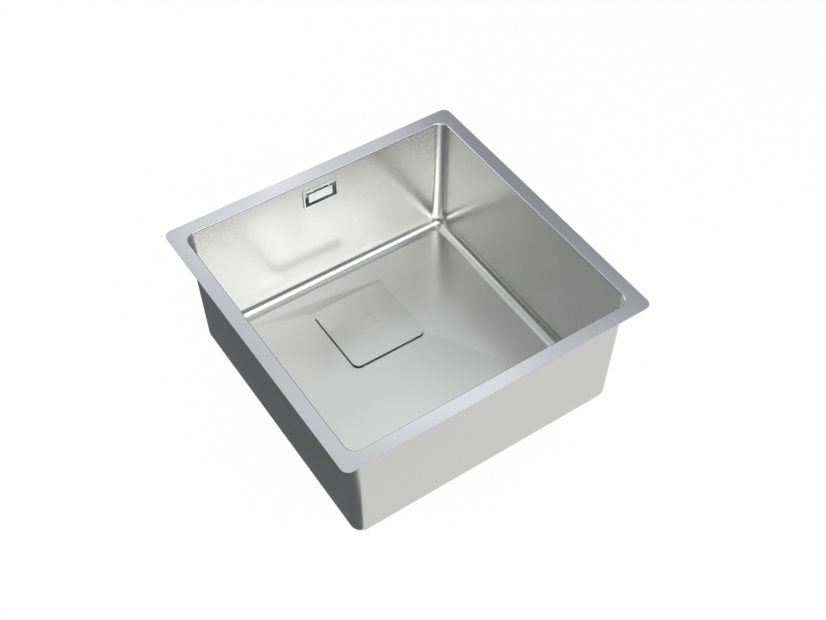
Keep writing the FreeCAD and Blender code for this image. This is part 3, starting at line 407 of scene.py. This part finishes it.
def plainMetal(name, colour, roughness, scale, depth, inner=0):
    # inner is how much rougher the faces are that don't look to the front
    tree = NodeTree(name)
    tree.shader.inputs["Metallic"].default_value = 1
    spots = tree.noise(scale, (1, 1, 1), 4)
    rough = tree.ramp(spots, *roughness, *cloudSpan)
    if inner:
        front = tree.along(tree.add("NewGeometry").outputs["True Normal"], "Y")
        rough = tree.maths("ADD", rough, tree.ramp(front, 0, inner, *metalLook["awaySpan"]))
    tree.join(rough, "Roughness")
    tree.join(tree.mixed(spots, darker(colour, metalLook["shade"]), colour), "Base Color")
    tree.bumped(tree.noise(scale * metalLook["finer"]), metalLook["strength"], depth)
    return tree.material


def mouldedPlastic(name, colour, roughness, grain, depth):
    tree = NodeTree(name)
    cloud = tree.noise(plasticLook["cloud"])
    tree.join(tree.mixed(cloud, darker(colour, plasticLook["shade"]), colour), "Base Color")
    tree.join(tree.ramp(cloud, *roughness, *cloudSpan), "Roughness")
    tree.bumped(tree.noise(grain), plasticLook["strength"], depth)
    return tree.material


def softRubber(name, colour, grain, depth):
    tree = NodeTree(name)
    look = rubberLook
    dust = tree.noise(look["dust"], (1, 1, 1), 5, look["dustRoughness"])
    dusty = tuple(part * look["paler"] + look["lift"] for part in colour)
    tree.join(tree.mixed(tree.ramp(dust, 0, 1, *look["dustSpan"]), colour, dusty), "Base Color")
    tree.join(tree.ramp(dust, *look["roughness"]), "Roughness")
    tree.bumped(tree.noise(grain), look["strength"], depth)
    return tree.material


def makeFinishes():
    finishes["satin_steel"] = brushedSteel("satinSteel", satinSteel)
    finishes["cover_steel"] = brushedSteel("coverSteel", coverSteel, 1)
    for make, table in ((plainMetal, metalFinishes), (softRubber, rubberFinishes),
                        (mouldedPlastic, plasticFinishes)):
        for slot, settings in table.items():
            finishes[slot] = make(*settings)
    print("finishes made:", len(finishes))


bowlSizes = {
    "half": 200, "depth": 191.5, "corner": 15, "cornerSteps": 12, "bend": 2, "bendSteps": 5,
    "sheet": 1, "flange": 20, "flangeCorner": 10, "fall": 1.5, "fallInset": 20, "land": 63,
    "recess": 52, "flare": 1, "recessBend": 1.5, "recessSteps": 4, "drainHole": 45, "ringSteps": 96,
}
overflowHole = {"size": (51.2, 20, 26.6), "corner": 2.1}


def makeBowl():
    s = {key: size if "Steps" in key else size * mm for key, size in bowlSizes.items()}
    half, depth, ring = s["half"], s["depth"], s["ringSteps"]
    wide, deep = 2 * bowlSizes["half"], bowlSizes["depth"]
    bowl = addBlock("bowlPressing", (wide, wide, deep), (0, 0, -deep / 2))
    # open top, leaning walls, rounded corners
    startEdit(bowl)
    pick(bowl, "FACE", lambda face: face.normal.z > 0.9)
    bpy.ops.mesh.delete(type="ONLY_FACE")
    pick(bowl, "VERT", lambda vert: vert.co.z < -depth / 2)
    lean = 1 - depth * math.tan(draft) / half
    grow((lean, lean, 1), (0, 0, -depth))
    pick(bowl, "EDGE", lambda edge: abs(span(edge).z) > depth / 2 or middle(edge).z < -depth + near)
    bpy.ops.mesh.bevel(offset=s["corner"], segments=s["cornerSteps"], profile=0.5, affect="EDGES")
    # flange: the rim is drawn out and each corner group moved to its own centre
    pick(bowl, "EDGE", lambda edge: edge.is_boundary)
    bpy.ops.mesh.extrude_region_move(TRANSFORM_OT_translate={"value": (0, 0, 0)})
    mesh = bmesh.from_edit_mesh(bowl.data)
    rim = {vert.index for vert in mesh.verts if vert.select}
    ratio = s["flangeCorner"] / s["corner"]
    outward = s["flange"] - s["flangeCorner"] + s["corner"]
    for right in (-1, 1):
        for far in (-1, 1):
            pick(bowl, "VERT", lambda vert: vert.index in rim and vert.co.x * right > 0
                 and vert.co.y * far > 0)
            centre = (right * (half - s["corner"]), far * (half - s["corner"]), 0)
            grow((ratio, ratio, 1), centre)
            shift(right * outward, far * outward)
    pick(bowl, "EDGE", lambda edge: not edge.is_boundary and abs(middle(edge).z) < hair
         and all(abs(vert.co.z) < hair for vert in edge.verts)
         and len({round(face.normal.z, 1) for face in edge.link_faces}) == 2)
    bpy.ops.mesh.bevel(offset=s["bend"], segments=s["bendSteps"], profile=0.5, affect="EDGES")
    # floor: a shallow fall to the square land, then the round recess
    pick(bowl, "FACE", lambda face: abs(face.normal.z) > 0.999
         and face.calc_center_median().z < -depth + loose)
    bpy.ops.mesh.inset(thickness=s["fallInset"])
    mesh = bmesh.from_edit_mesh(bowl.data)
    reach = max(abs(vert.co.x) for vert in mesh.verts if vert.select)
    grow((s["land"] / reach, s["land"] / reach, 1), (0, 0, -depth))
    shift(0, drain.y, -s["fall"])
    bpy.ops.mesh.delete(type="ONLY_FACE")
    landZ = -depth - s["fall"]
    pick(bowl, "EDGE", lambda edge: edge.is_boundary and middle(edge).z < landZ + near)
    bpy.ops.mesh.subdivide(number_cuts=ring // 4 - 1)
    bpy.ops.mesh.select_all(action="DESELECT")
    lip = s["recess"] + s["flare"]
    bpy.ops.mesh.primitive_circle_add(vertices=ring, radius=lip, location=(0, drain.y, landZ))
    pick(bowl, "EDGE", lambda edge: (edge.is_boundary or edge.is_wire)
         and abs(middle(edge).z - landZ) < near)
    bpy.ops.mesh.bridge_edge_loops()
    pick(bowl, "EDGE", lambda edge: edge.is_boundary and abs(middle(edge).z - landZ) < near)
    bpy.ops.mesh.extrude_region_move(TRANSFORM_OT_translate={"value": (0, 0, drain.z - landZ)})
    grow((s["recess"] / lip, s["recess"] / lip, 1), drain)
    bpy.ops.mesh.extrude_region_move(TRANSFORM_OT_translate={"value": (0, 0, 0)})
    grow((s["drainHole"] / s["recess"], s["drainHole"] / s["recess"], 1), drain)

    def isRecessEdge(edge):
        away = [(vert.co - drain).xy.length for vert in edge.verts]
        height = middle(edge).z
        onLip = max(abs(far - lip) for far in away) < loose and abs(height - landZ) < near
        onFoot = max(abs(far - s["recess"]) for far in away) < loose and abs(height - drain.z) < near
        return abs(span(edge).z) < near and (onLip or onFoot)

    pick(bowl, "EDGE", isRecessEdge)
    bpy.ops.mesh.bevel(offset=s["recessBend"], segments=s["recessSteps"], profile=0.5, affect="EDGES")
    mergeAll()
    mesh = bmesh.from_edit_mesh(bowl.data)
    flange = max(mesh.faces, key=lambda face: face.calc_center_median().z + face.calc_area())
    if flange.normal.z < 0:
        bpy.ops.mesh.flip_normals()
    endEdit()
    # sheet thickness away from the water side, then the overflow's hole
    useModifier(bowl, "SOLIDIFY", thickness=s["sheet"], offset=-1, use_even_offset=True,
                use_quality_normals=True)
    hole = addBlock("hole", overflowHole["size"], (0, 0, 0), overflowHole["corner"], 1)
    cutAway(bowl, place(hole, onWall))
    softenEdges(bowl, 0.2)
    smoothPiece(bowl)
    finishPiece(bowl, "sink", "satin_steel", "bowl")
    print("bowl made:", len(bowl.data.polygons), "faces")


coverSizes = {
    "size": 115, "corner": 10, "cornerSteps": 14, "sheet": 1, "under": 8.7, "edge": 0.4,
    "edgeSteps": 4, "lip": 0.9, "lipWidth": 1.2,
    "badge": 24, "badgeBlock": 0.6, "badgeHeight": 0.5, "badgeSlope": 1.3,
    "band": [(39.3, -1.2, 0.3), (40.5, -1.2, 0.3), (40.5, 8.7, 0), (39.3, 8.7, 0)],
    "window": (30, 14, 5), "windowMiddle": (40, 0, 3.75), "windowCorner": 1, "windows": 6,
    "foot": [(0, 6.3, 0), (3.5, 6.3, 0.8), (4, 8.7, 0), (0, 8.7, 0)], "footSpot": (47, 47, 0),
    "feet": 4,
}


def makeCover():
    s = coverSizes
    top = s["under"] + s["sheet"]
    thick = s["sheet"] + s["lip"]
    plate = addBlock("coverPlate", (s["size"], s["size"], thick), (0, 0, top - thick / 2))
    startEdit(plate)
    pick(plate, "EDGE", lambda edge: abs(span(edge).z) > hair)
    bpy.ops.mesh.bevel(offset=s["corner"] * mm, segments=s["cornerSteps"], affect="EDGES")
    pick(plate, "EDGE", lambda edge: abs(middle(edge).z - top * mm) < hair and abs(span(edge).z) < hair)
    bpy.ops.mesh.bevel(offset=s["edge"] * mm, segments=s["edgeSteps"], affect="EDGES")
    # the sheet's edge is turned down a little all round
    pick(plate, "FACE", lambda face: face.normal.z < -0.9)
    bpy.ops.mesh.inset(thickness=s["lipWidth"] * mm)
    bpy.ops.mesh.extrude_region_move(TRANSFORM_OT_translate={"value": (0, 0, s["lip"] * mm)})
    endEdit()
    # plain raised square in the middle, with sloped sides
    raised, reach = s["badgeHeight"], (s["badge"] / 2 - 0.01) * mm
    badge = addBlock("badge", (s["badge"], s["badge"], s["badgeBlock"]),
                     (0, 0, top + raised - s["badgeBlock"] / 2))
    startEdit(badge)
    pick(badge, "FACE", lambda face: face.normal.z > 0.9)
    bpy.ops.mesh.inset(thickness=s["badgeSlope"] * mm)
    pick(badge, "VERT", lambda vert: vert.co.z > top * mm
         and max(abs(vert.co.x), abs(vert.co.y)) > reach)
    shift(0, 0, -raised * mm)
    endEdit()
    weld(plate, badge)
    softenEdges(plate, 0.08, angle=30)
    smoothPiece(place(plate, onDrain), 12)
    finishPiece(plate, "cover", "cover_steel", "drain_cover")
    # locating band with windows for the water
    band = turnPiece("coverBand", s["band"])
    window = addBlock("window", s["window"], s["windowMiddle"], s["windowCorner"], 0)
    spreadRound(window, s["windows"])
    cutAway(band, window)
    softenEdges(band, 0.15)
    smoothPiece(place(band, onDrain), 40)
    finishPiece(band, "cover", "waste_steel", "cover_ring")
    # feet under the corners, one turned and copied
    foot = turnPiece("coverFeet", s["foot"], 40)
    place(foot, Matrix.Translation(Vector(s["footSpot"]) * mm))
    spreadRound(foot, s["feet"])
    smoothPiece(place(foot, onDrain), 40)
    finishPiece(foot, "cover", "feet_rubber", "cover_feet")
    print("cover made")


overflowSizes = {
    "frame": (53.6, 30.6), "frameCorner": 2, "frameEdge": 0.5, "proud": 1.8,
    "tube": (50.6, 26), "tubeCorner": 1.8, "tubeSpan": (-0.5, 11),
    "mouth": (49, 40, 24.4), "mouthMiddle": (0, 5, 0), "mouthCorner": 1,
    "bar": (49.8, 3, 9), "barMiddle": (0, 9.5, 0), "barHoles": (5, 15),
    "screw": 8, "screwHole": 2.3, "leg": 15.5, "legHole": 1.55, "legRadius": 1.5, "legSpan": (0.5, 11),
    "plate": (37.5, 2, 15), "plateMiddle": (0, -0.2, 0), "plateCorner": 1.5, "plateEdge": 0.45,
    "plateProud": 1.2, "edgeSteps": 4,
}


def makeOverflowFront():
    s = overflowSizes
    width, height = s["frame"]
    bezel = addBlock("overflowFrame", (width, s["proud"], height), (0, -s["proud"] / 2, 0),
                     s["frameCorner"], 1)
    startEdit(bezel)
    pick(bezel, "EDGE", roundFace(-s["proud"]))
    bpy.ops.mesh.bevel(offset=s["frameEdge"] * mm, segments=s["edgeSteps"], affect="EDGES")
    endEdit()
    front, back = s["tubeSpan"]
    tube = addBlock("tube", (s["tube"][0], back - front, s["tube"][1]), (0, (front + back) / 2, 0),
                    s["tubeCorner"], 1)
    mouth = addBlock("mouth", s["mouth"], s["mouthMiddle"], s["mouthCorner"], 1)
    bar = addBlock("bar", s["bar"], s["barMiddle"])
    holes = [addRod("hole", radius, *s["barHoles"], (side * out, 0), "Y")
             for radius, out in ((s["screwHole"], s["screw"]), (s["legHole"], s["leg"]))
             for side in (-1, 1)]
    cutAway(weld(bezel, tube), mouth)
    cutAway(weld(bezel, bar), *holes)
    softenEdges(bezel, 0.18, segments=3)
    smoothPiece(place(bezel, onWall))
    finishPiece(bezel, "sink", "overflow_chrome", "overflow_frame")
    plate = addBlock("overflowPlate", s["plate"], s["plateMiddle"], s["plateCorner"], 1)
    startEdit(plate)
    pick(plate, "EDGE", roundFace(-s["plateProud"]))
    bpy.ops.mesh.bevel(offset=s["plateEdge"] * mm, segments=s["edgeSteps"], affect="EDGES")
    endEdit()
    weld(plate, *[addRod("leg", s["legRadius"], *s["legSpan"], (side * s["leg"], 0), "Y", 24)
                  for side in (-1, 1)])
    smoothPiece(place(plate, onWall))
    finishPiece(plate, "sink", "overflow_chrome", "overflow_plate")
    print("overflow front made")


ridge = (0.3, 0.9, 1.3, 1.9)      # heights of a thread's foot, crest, crest and foot


def threadCorners(crest, root, low, high, pitch):
    # ridges up a round bar, from low to high
    corners = [(root, low, 0)]
    for i in range(int((high - low) / pitch)):
        corners += [(out, low + i * pitch + up, 0) for out, up in zip((root, crest, crest, root), ridge)]
    return corners + [(root, high, 0)]


strainerSizes = {
    "cup": [(4.6, -46, 0), (38, -46, 4.2), (40.5, -3.5, 0.5), (43, -3.5, 0.4), (43, 2.5, 1.6),
            (50.5, 2.5, 0.25), (50.5, 1.5, 0.25), (44, 1.5, 0.7), (44, -4.5, 0.5), (41.5, -4.5, 0.5),
            (39, -47, 4.4), (4.6, -47, 0)],
    "cupHoles": (6, -50, -44, 18.5, 6),             # radius, low, high, ring, count
    "basket": [(6.05, -26.4, 0), (35, -26.4, 4), (38.5, -2.4, 0.4), (42.4, -2.4, 0.2),
               (42.4, -3.2, 0.2), (39.3, -3.2, 0.3), (35.8, -27.2, 4.2), (6.05, -27.2, 0)],
    "basketHoles": ((2.5, -30, -24, 15, 6), (2.5, -30, -24, 25, 10)),
    "basketSlot": (8, 4, 11), "slotMiddle": (37, 0, -14.4), "slotCorner": 1.8, "slots": 12,
    "screwThread": (4, 3.5, -64, -49, 1.25),        # crest, root, low, high, pitch
    "screwTip": [(0, -64, 0)],
    "screwHead": [(4, -48.5, 0), (4, -46, 0), (9, -46, 0.3), (9, -43.5, 1.4), (0, -43.5, 0)],
    "screwSlot": (27, 2, 2.5), "screwSlotMiddle": (0, 0, -43.5),
}


def makeStrainer():
    s = strainerSizes
    cup = turnPiece("strainerCup", s["cup"])
    radius, low, high, ring, count = s["cupHoles"]
    cutAway(cup, addRod("outlet", radius, low, high, (ring, 0), copies=count))
    softenEdges(cup, 0.15)
    smoothPiece(place(cup, onDrain))
    finishPiece(cup, "sink", "waste_steel", "strainer_cup")
    basket = turnPiece("basketCup", s["basket"])
    for radius, low, high, ring, count in s["basketHoles"]:
        cutAway(basket, addRod("hole", radius, low, high, (ring, 0), steps=32, copies=count))
    slot = addBlock("slot", s["basketSlot"], s["slotMiddle"], s["slotCorner"], 0)
    spreadRound(slot, s["slots"])
    cutAway(basket, slot)
    softenEdges(basket, 0.12)
    smoothPiece(place(basket, onDrain))
    finishPiece(basket, "basket", "waste_steel", "basket_cup")
    screw = turnPiece("clampScrew", s["screwTip"] + threadCorners(*s["screwThread"]) + s["screwHead"], 64)
    cutAway(screw, addBlock("slot", s["screwSlot"], s["screwSlotMiddle"]))
    softenEdges(screw, 0.1)
    smoothPiece(place(screw, onDrain), 30)
    finishPiece(screw, "sink", "screw_steel", "clamp_screw")
    print("strainer and basket made")


bodySizes = {
    "inside": [(46.5, -4, 0.3), (46.5, -52, 3), (20.5, -66, 3), (20.5, -94, 0.4), (22.9, -94, 0.4)],
    "thread": (23.9, 22.9, -92.5, -73, 2.31),       # crest, root, low, high, pitch
    "outside": [(23.9, -72.5, 0), (23.9, -72, 0), (27, -72, 0.8), (27, -67.5, 1), (49.5, -53.5, 4),
                (49.5, -7, 0.6), (53, -7, 0.5), (53, -4, 0.5)],
    "port": [(0, -18, 0), (12, -18, 0), (12, 0, 0.5), (0, 0, 0)],
    "spoke": (41, 3, 5), "spokeMiddle": (28, 0, -51), "spokeCorner": 0.6, "spokes": 3,
    "boss": [(0, -61.5, 0), (9, -61.5, 1), (9, -48, 0.4), (0, -48, 0)],
    "gusset": (4, 3, 13.5), "gussetMiddle": (49.5, 0, -12.25), "gussetOut": 50, "gussetMid": -10,
    "gussetTop": 0.5, "gussetFoot": -1, "gussets": 6,
    "insertSeat": (6.05, -59.05, -40), "screwWay": (4.3, -70, -50),
    "portBore": (8.5, 43.5, 70), "portSpot": (0, -26),
}


def makeWasteBody():
    s = bodySizes
    body = turnPiece("wasteBody", s["inside"] + threadCorners(*s["thread"]) + s["outside"])
    port = place(turnPiece("port", s["port"], 64), onDrain.inverted() @ onPort)
    spoke = addBlock("spoke", s["spoke"], s["spokeMiddle"], s["spokeCorner"], 0)
    spreadRound(spoke, s["spokes"])
    boss = turnPiece("boss", s["boss"], 64)
    # the gussets under the collar taper towards their feet
    gusset = addBlock("gusset", s["gusset"], s["gussetMiddle"])
    outer, mid = s["gussetOut"] * mm, s["gussetMid"] * mm
    startEdit(gusset)
    pick(gusset, "VERT", lambda vert: vert.co.x > outer and vert.co.z > mid)
    shift(s["gussetTop"] * mm)
    pick(gusset, "VERT", lambda vert: vert.co.x > outer and vert.co.z < mid)
    shift(s["gussetFoot"] * mm)
    endEdit()
    spreadRound(gusset, s["gussets"])
    weld(body, port, spoke, boss, gusset)
    cutAway(body, addRod("insertSeat", *s["insertSeat"]), addRod("screwWay", *s["screwWay"]),
            addRod("portBore", *s["portBore"], s["portSpot"], "Y"))
    softenEdges(body, 0.25)
    smoothPiece(place(body, onDrain))
    finishPiece(body, "sink", "waste_plastic", "waste_body")
    print("waste body made:", len(body.data.polygons), "faces")


stopperSizes = {
    "rod": [(0, -42.7, 0), (2.5, -42.7, 0.3), (2.5, -39.7, 0), (7, -39.7, 0.3), (7, -38.2, 0.5),
            (3, -38.2, 0.6), (3, -14.1, 0.4), (0, -14.1, 0)],
    "seal": [(2.55, -42.7, 0), (26, -42.7, 1), (28.5, -45.7, 0.8), (31, -44.7, 0.5),
             (29, -40.7, 0.8), (2.55, -40.7, 0)],
    "knob": [(3.05, -24.1, 0), (6.6, -24.1, 0.7), (5.5, -20, 1.5), (5.5, -17.4, 1), (11, -14.9, 1.2),
             (11, -11.1, 2.2), (0, -11.1, 0), (0, -14.05, 0), (3.05, -14.05, 0)],
    "bush": [(3.05, -29.7, 0.2), (6, -29.7, 0.5), (6, -26.4, 0), (9, -26.4, 0.2), (9, -24.4, 1),
             (3.05, -24.4, 0.3), (3.05, -26.3, 0), (4.85, -26.3, 0), (4.85, -28.1, 0), (3.05, -28.1, 0)],
}
knobGrips = {"radius": 1.2, "low": -15.2, "high": -8, "ring": 12, "count": 12}


def makeStopper():
    for key, body, slot, node in (
            ("rod", "stopper", "screw_steel", "stopper_rod"),
            ("seal", "stopper", "stopper_rubber", "stopper_seal"),
            ("knob", "stopper", "bush_plastic", "stopper_knob"),
            ("bush", "basket", "bush_plastic", "basket_bush")):
        piece = turnPiece(key, stopperSizes[key], 72)
        if key == "knob":
            grip = knobGrips
            cutAway(piece, addRod("grip", grip["radius"], grip["low"], grip["high"], (grip["ring"], 0),
                                  steps=24, copies=grip["count"]))
        smoothPiece(place(piece, onDrain))
        finishPiece(piece, body, slot, node)
    print("stopper made")


housingSizes = {
    "flange": (62, 3, 38), "box": (56, 20, 32), "face": 3.5, "corner": 4, "backEdge": 2.2,
    "backSteps": 5, "chamber": (51, 19.5, 26.6), "chamberMiddle": (0, 11.25, 0), "chamberCorner": 1.8,
    "spigot": [(0, -38, 0), (12, -38, 0.4), (12, -1, 4), (6, 5, 3), (0, 5, 0)], "spigotOut": 17.95,
    "bore": (8.5, -40, -1), "boss": (4, 11.3, 22.25), "bossHole": (2.05, 10, 23.3), "bossOut": 8,
}


def makeHousing():
    s = housingSizes
    face = s["face"]
    flangeDeep, boxDeep = s["flange"][1], s["box"][1]
    housing = addBlock("overflowHousing", s["flange"], (0, face + flangeDeep / 2, 0), s["corner"], 1)
    box = addBlock("box", s["box"], (0, face + boxDeep / 2, 0), s["corner"], 1)
    startEdit(box)
    pick(box, "EDGE", roundFace(face + boxDeep))
    bpy.ops.mesh.bevel(offset=s["backEdge"] * mm, segments=s["backSteps"], affect="EDGES")
    endEdit()
    spigot = turnPiece("spigot", s["spigot"], 72)
    place(spigot, Matrix.Translation(Vector((0, s["spigotOut"], 0)) * mm))
    weld(housing, box, spigot)
    chamber = addBlock("chamber", s["chamber"], s["chamberMiddle"], s["chamberCorner"], 1)
    cutAway(housing, chamber, addRod("bore", *s["bore"], (0, s["spigotOut"])))
    sides = (-s["bossOut"], s["bossOut"])
    bosses = [addRod("boss", *s["boss"], (side, 0), "Y") for side in sides]
    holes = [addRod("hole", *s["bossHole"], (side, 0), "Y") for side in sides]
    cutAway(weld(housing, *bosses), *holes)
    softenEdges(housing, 0.25)
    smoothPiece(place(housing, onWall))
    finishPiece(housing, "sink", "waste_plastic", "overflow_housing")
    print("overflow housing made")


hoseSizes = {
    "bore": 8.3, "boreSteps": 40, "root": 9.6, "crest": 11.5, "collar": 2, "lip": 11.8, "pitch": 8,
    "washer": 1.5, "edge": 0.3,
    # a rib's corners: distance out, share of the pitch and rounding
    "rib": (("root", 0.05, 0.7), ("crest", 0.3, 0.9), ("crest", 0.6, 0.9), ("root", 0.85, 0.7)),
    "nut": [(12.05, -10, 0.3), (15.45, -10, 0.6), (15.45, 6.95, 1.8), (10.2, 6.95, 0.4),
            (10.2, 3.55, 0), (12.05, 3.55, 0)],
    "flute": (2, -11, 1.5), "fluteOut": 16.45, "flutes": 8,
}


def makeHose():
    s = hoseSizes
    start = onSpigot @ Vector((0, 0, s["washer"] * mm))
    end = onPort @ Vector((0, 0, s["washer"] * mm))
    down = (onSpigot.to_3x3() @ Vector((0, 0, 1))).normalized()
    ahead = Vector((0, -1, 0))
    corner = start + down * ((start.z - end.z) / math.cos(draft))
    cuff = 2 * s["crest"] * mm
    swing = math.pi / 2 - draft
    radius = ((corner - end).length - cuff) * math.tan((math.pi - swing) / 2)
    reach = radius / math.tan((math.pi - swing) / 2)
    entry = corner - down * reach
    centre = entry + Vector((0, -math.cos(draft), math.sin(draft))) * radius
    upright, bend = (entry - start).length, radius * swing
    total = upright + bend + (end - (corner + ahead * reach)).length
    # the hose is turned straight, rib after rib, and then laid along its route
    count = int((total - 2 * cuff) / (s["pitch"] * mm))
    pitch = (total - 2 * cuff) / count / mm
    first, length = cuff / mm, total / mm
    collar, edge, steps = s["collar"], s["edge"], s["boreSteps"]
    inside = [(s["bore"], length * (1 - i / steps), 0) for i in range(steps + 1)]
    ribs = [(s[out], first + (i + share) * pitch, rounding)
            for i in range(count) for out, share, rounding in s["rib"]]
    hose = turnPiece("overflowHose", inside + [
        (s["lip"], 0, 0), (s["lip"], collar, edge), (s["root"], collar, edge)] + ribs + [
        (s["root"], length - collar, edge), (s["lip"], length - collar, edge), (s["lip"], length, 0)], 48)
    side = Vector((1, 0, 0))
    for vert in hose.data.vertices:
        at, out = vert.co.z, vert.co.y
        if at < upright:
            spot, way = start + down * at, down
        elif at > upright + bend:
            spot, way = end - ahead * (total - at), ahead
        else:
            turned = Matrix.Rotation(-(at - upright) / radius, 3, "X")
            spot, way = centre + turned @ (entry - centre), turned @ down
        vert.co = spot + side * vert.co.x + way.cross(side) * out
    startEdit(hose)
    mergeAll()
    endEdit()
    smoothPiece(hose, 50)
    finishPiece(hose, "sink", "hose_plastic", "overflow_hose")
    for name, matrix, node in (("hoseNutTop", onSpigot, "hose_nut_top"),
                               ("hoseNutBottom", onPort, "hose_nut_bottom")):
        nut = turnPiece(name, s["nut"], 72)
        cutAway(nut, addRod("flute", *s["flute"], (s["fluteOut"], 0), steps=24, copies=s["flutes"]))
        softenEdges(nut, 0.25, angle=50)
        smoothPiece(place(nut, matrix))
        finishPiece(nut, "sink", "nut_plastic", node)
    print("hose and unions made:", round(total / mm, 1), "mm long")


nodeSlots = {
    "sound_pad": "damping_rubber", "flange_seal": "seal_rubber", "under_seal": "seal_rubber",
    "screw_insert": "insert_brass", "grip_ring": "seal_rubber", "bush_clip": "screw_steel",
    "stopper_disc": "waste_steel", "overflow_screws": "screw_steel", "overflow_gasket": "seal_rubber",
    "hose_washer_top": "seal_rubber", "hose_washer_bottom": "seal_rubber",
}


def dressNodes():
    # small fittings keep their CAD shape and get their finish
    for name, slot in nodeSlots.items():
        node = frame["nodes"][name]
        node.data.materials.clear()
        node.data.materials.append(finishes[slot])
    print("small fittings dressed:", len(nodeSlots))


studio = {
    "floor": -293.5, "floorSize": 12, "floorColour": (0.95, 0.95, 0.95), "floorShare": 0.98,
    "white": (1, 1, 1), "reflectedWhite": (0.89, 0.89, 0.89), "matt": 0.9,
    "worldColour": (0.93, 0.96, 1.0), "worldLight": 0.45,
    "cardSpan": ((-0.75, -0.206), (-0.32, 0.75)), "cardColour": (0.13, 0.13, 0.135),
    "lampsAim": (0, 0, -0.1),
    "lamps": [                          # azimuth, elevation, distance, size, power
        (300, 12, 2, 1.9, 13.9),
        (210, 12, 2, 1.9, 13.3),
        (0, 45, 2, 1.9, 10.5),
        (-25, 35, 2, 1.05, 7.28),
        (25, 35, 2, 1.05, 4.78),
        (120, 75, 2, 1.9, 3),
        (180, 45, 2, 1.9, 1.54),
        (-50, 35, 2, 1.05, 1.26),
        (210, 45, 2, 1.9, 1.13),
        (140.5, 58, 2, 0.5, 0.285),
        (165.5, 40, 2, 0.5, 0.242),
        (153, 40, 2, 0.5, 0.233),
        (165.5, 49, 2, 0.5, 0.168),
        (128, 58, 2, 0.5, 0.0845),
        (153, 49, 2, 0.5, 0.0629),
    ],
}


def addSheet(name, size):
    deselectAll()
    bpy.ops.mesh.primitive_plane_add(size=size, location=(0, 0, 0))
    return namePiece(bpy.context.object, name)


def mattTree(name, colour):
    tree = NodeTree(name)
    tree.shader.inputs["Base Color"].default_value = (*colour, 1)
    tree.shader.inputs["Roughness"].default_value = studio["matt"]
    return tree


def makeFloor():
    floor = addSheet("paleFloor", studio["floorSize"])
    place(floor, Matrix.Translation((0, 0, studio["floor"] * mm)))
    tree = mattTree("paleFloor", studio["floorColour"])
    path = tree.add("LightPath").outputs
    # the camera sees white, and metal shows it a little duller
    white = tree.add("Emission", {"Color": (*studio["white"], 1), "Strength": 1.0}).outputs[0]
    dull = tree.add("Emission", {"Color": (*studio["reflectedWhite"], 1), "Strength": 1.0}).outputs[0]
    glow = tree.add("MixShader", {0: path["Is Glossy Ray"], 1: white, 2: dull}).outputs[0]
    seen = tree.maths("MAXIMUM", path["Is Camera Ray"], path["Is Glossy Ray"])
    seen = tree.maths("MAXIMUM", seen, path["Is Transmission Ray"])
    share = tree.maths("MULTIPLY", seen, studio["floorShare"])
    above = tree.add("MixShader", {0: share, 1: tree.shader.outputs[0], 2: glow}).outputs[0]
    # from below the floor lets the view through
    whole = tree.add("MixShader", {0: tree.add("NewGeometry").outputs["Backfacing"], 1: above,
                                   2: tree.add("BsdfTransparent").outputs[0]})
    tree.links.new(whole.outputs[0], tree.nodes["Material Output"].inputs["Surface"])
    floor.data.materials.append(tree.material)


def makeDarkCard():
    # beside the bowl, it keeps the left wall's reflection as deep as the photograph has it
    across, along = studio["cardSpan"]
    middleSpot = Vector((sum(across) / 2, sum(along) / 2, studio["floor"] * mm + mm))
    card = addSheet("darkCard", 1)
    stretch = Matrix.Diagonal((across[1] - across[0], along[1] - along[0], 1, 1))
    place(card, Matrix.Translation(middleSpot) @ stretch)
    for ray in ("camera", "diffuse", "transmission", "shadow"):
        setattr(card, "visible_" + ray, False)
    card.data.materials.append(mattTree("darkCard", studio["cardColour"]).material)


def makeStage():
    scene = bpy.context.scene
    scene.view_settings.view_transform = "Standard"
    world = bpy.data.worlds.new("studio")
    scene.world = world
    world.use_nodes = True
    sky = world.node_tree.nodes["Background"].inputs
    sky["Color"].default_value = (*studio["worldColour"], 1)
    sky["Strength"].default_value = studio["worldLight"]
    makeFloor()
    makeDarkCard()
    for number, lamp in enumerate(studio["lamps"]):
        addLamp(f"softLamp{number}", *lamp)
    print("stage made")


def addLamp(name, azimuth, elevation, distance, size, power):
    way = wayTo(azimuth, elevation)
    data = bpy.data.lights.new(name, "AREA")
    data.shape = "DISK"
    data.size = size
    data.energy = power
    lamp = bpy.data.objects.new(name, data)
    bpy.context.scene.collection.objects.link(lamp)
    lamp.location = Vector(studio["lampsAim"]) + way * distance
    lamp.rotation_mode = "QUATERNION"
    lamp.rotation_quaternion = (-way).to_track_quat("-Z", "Y")
    lamp.visible_camera = False


makeCamera()
makeStage()
makeFinishes()
makeBowl()
makeCover()
makeOverflowFront()
makeStrainer()
makeWasteBody()
makeStopper()
makeHousing()
makeHose()
dressNodes()
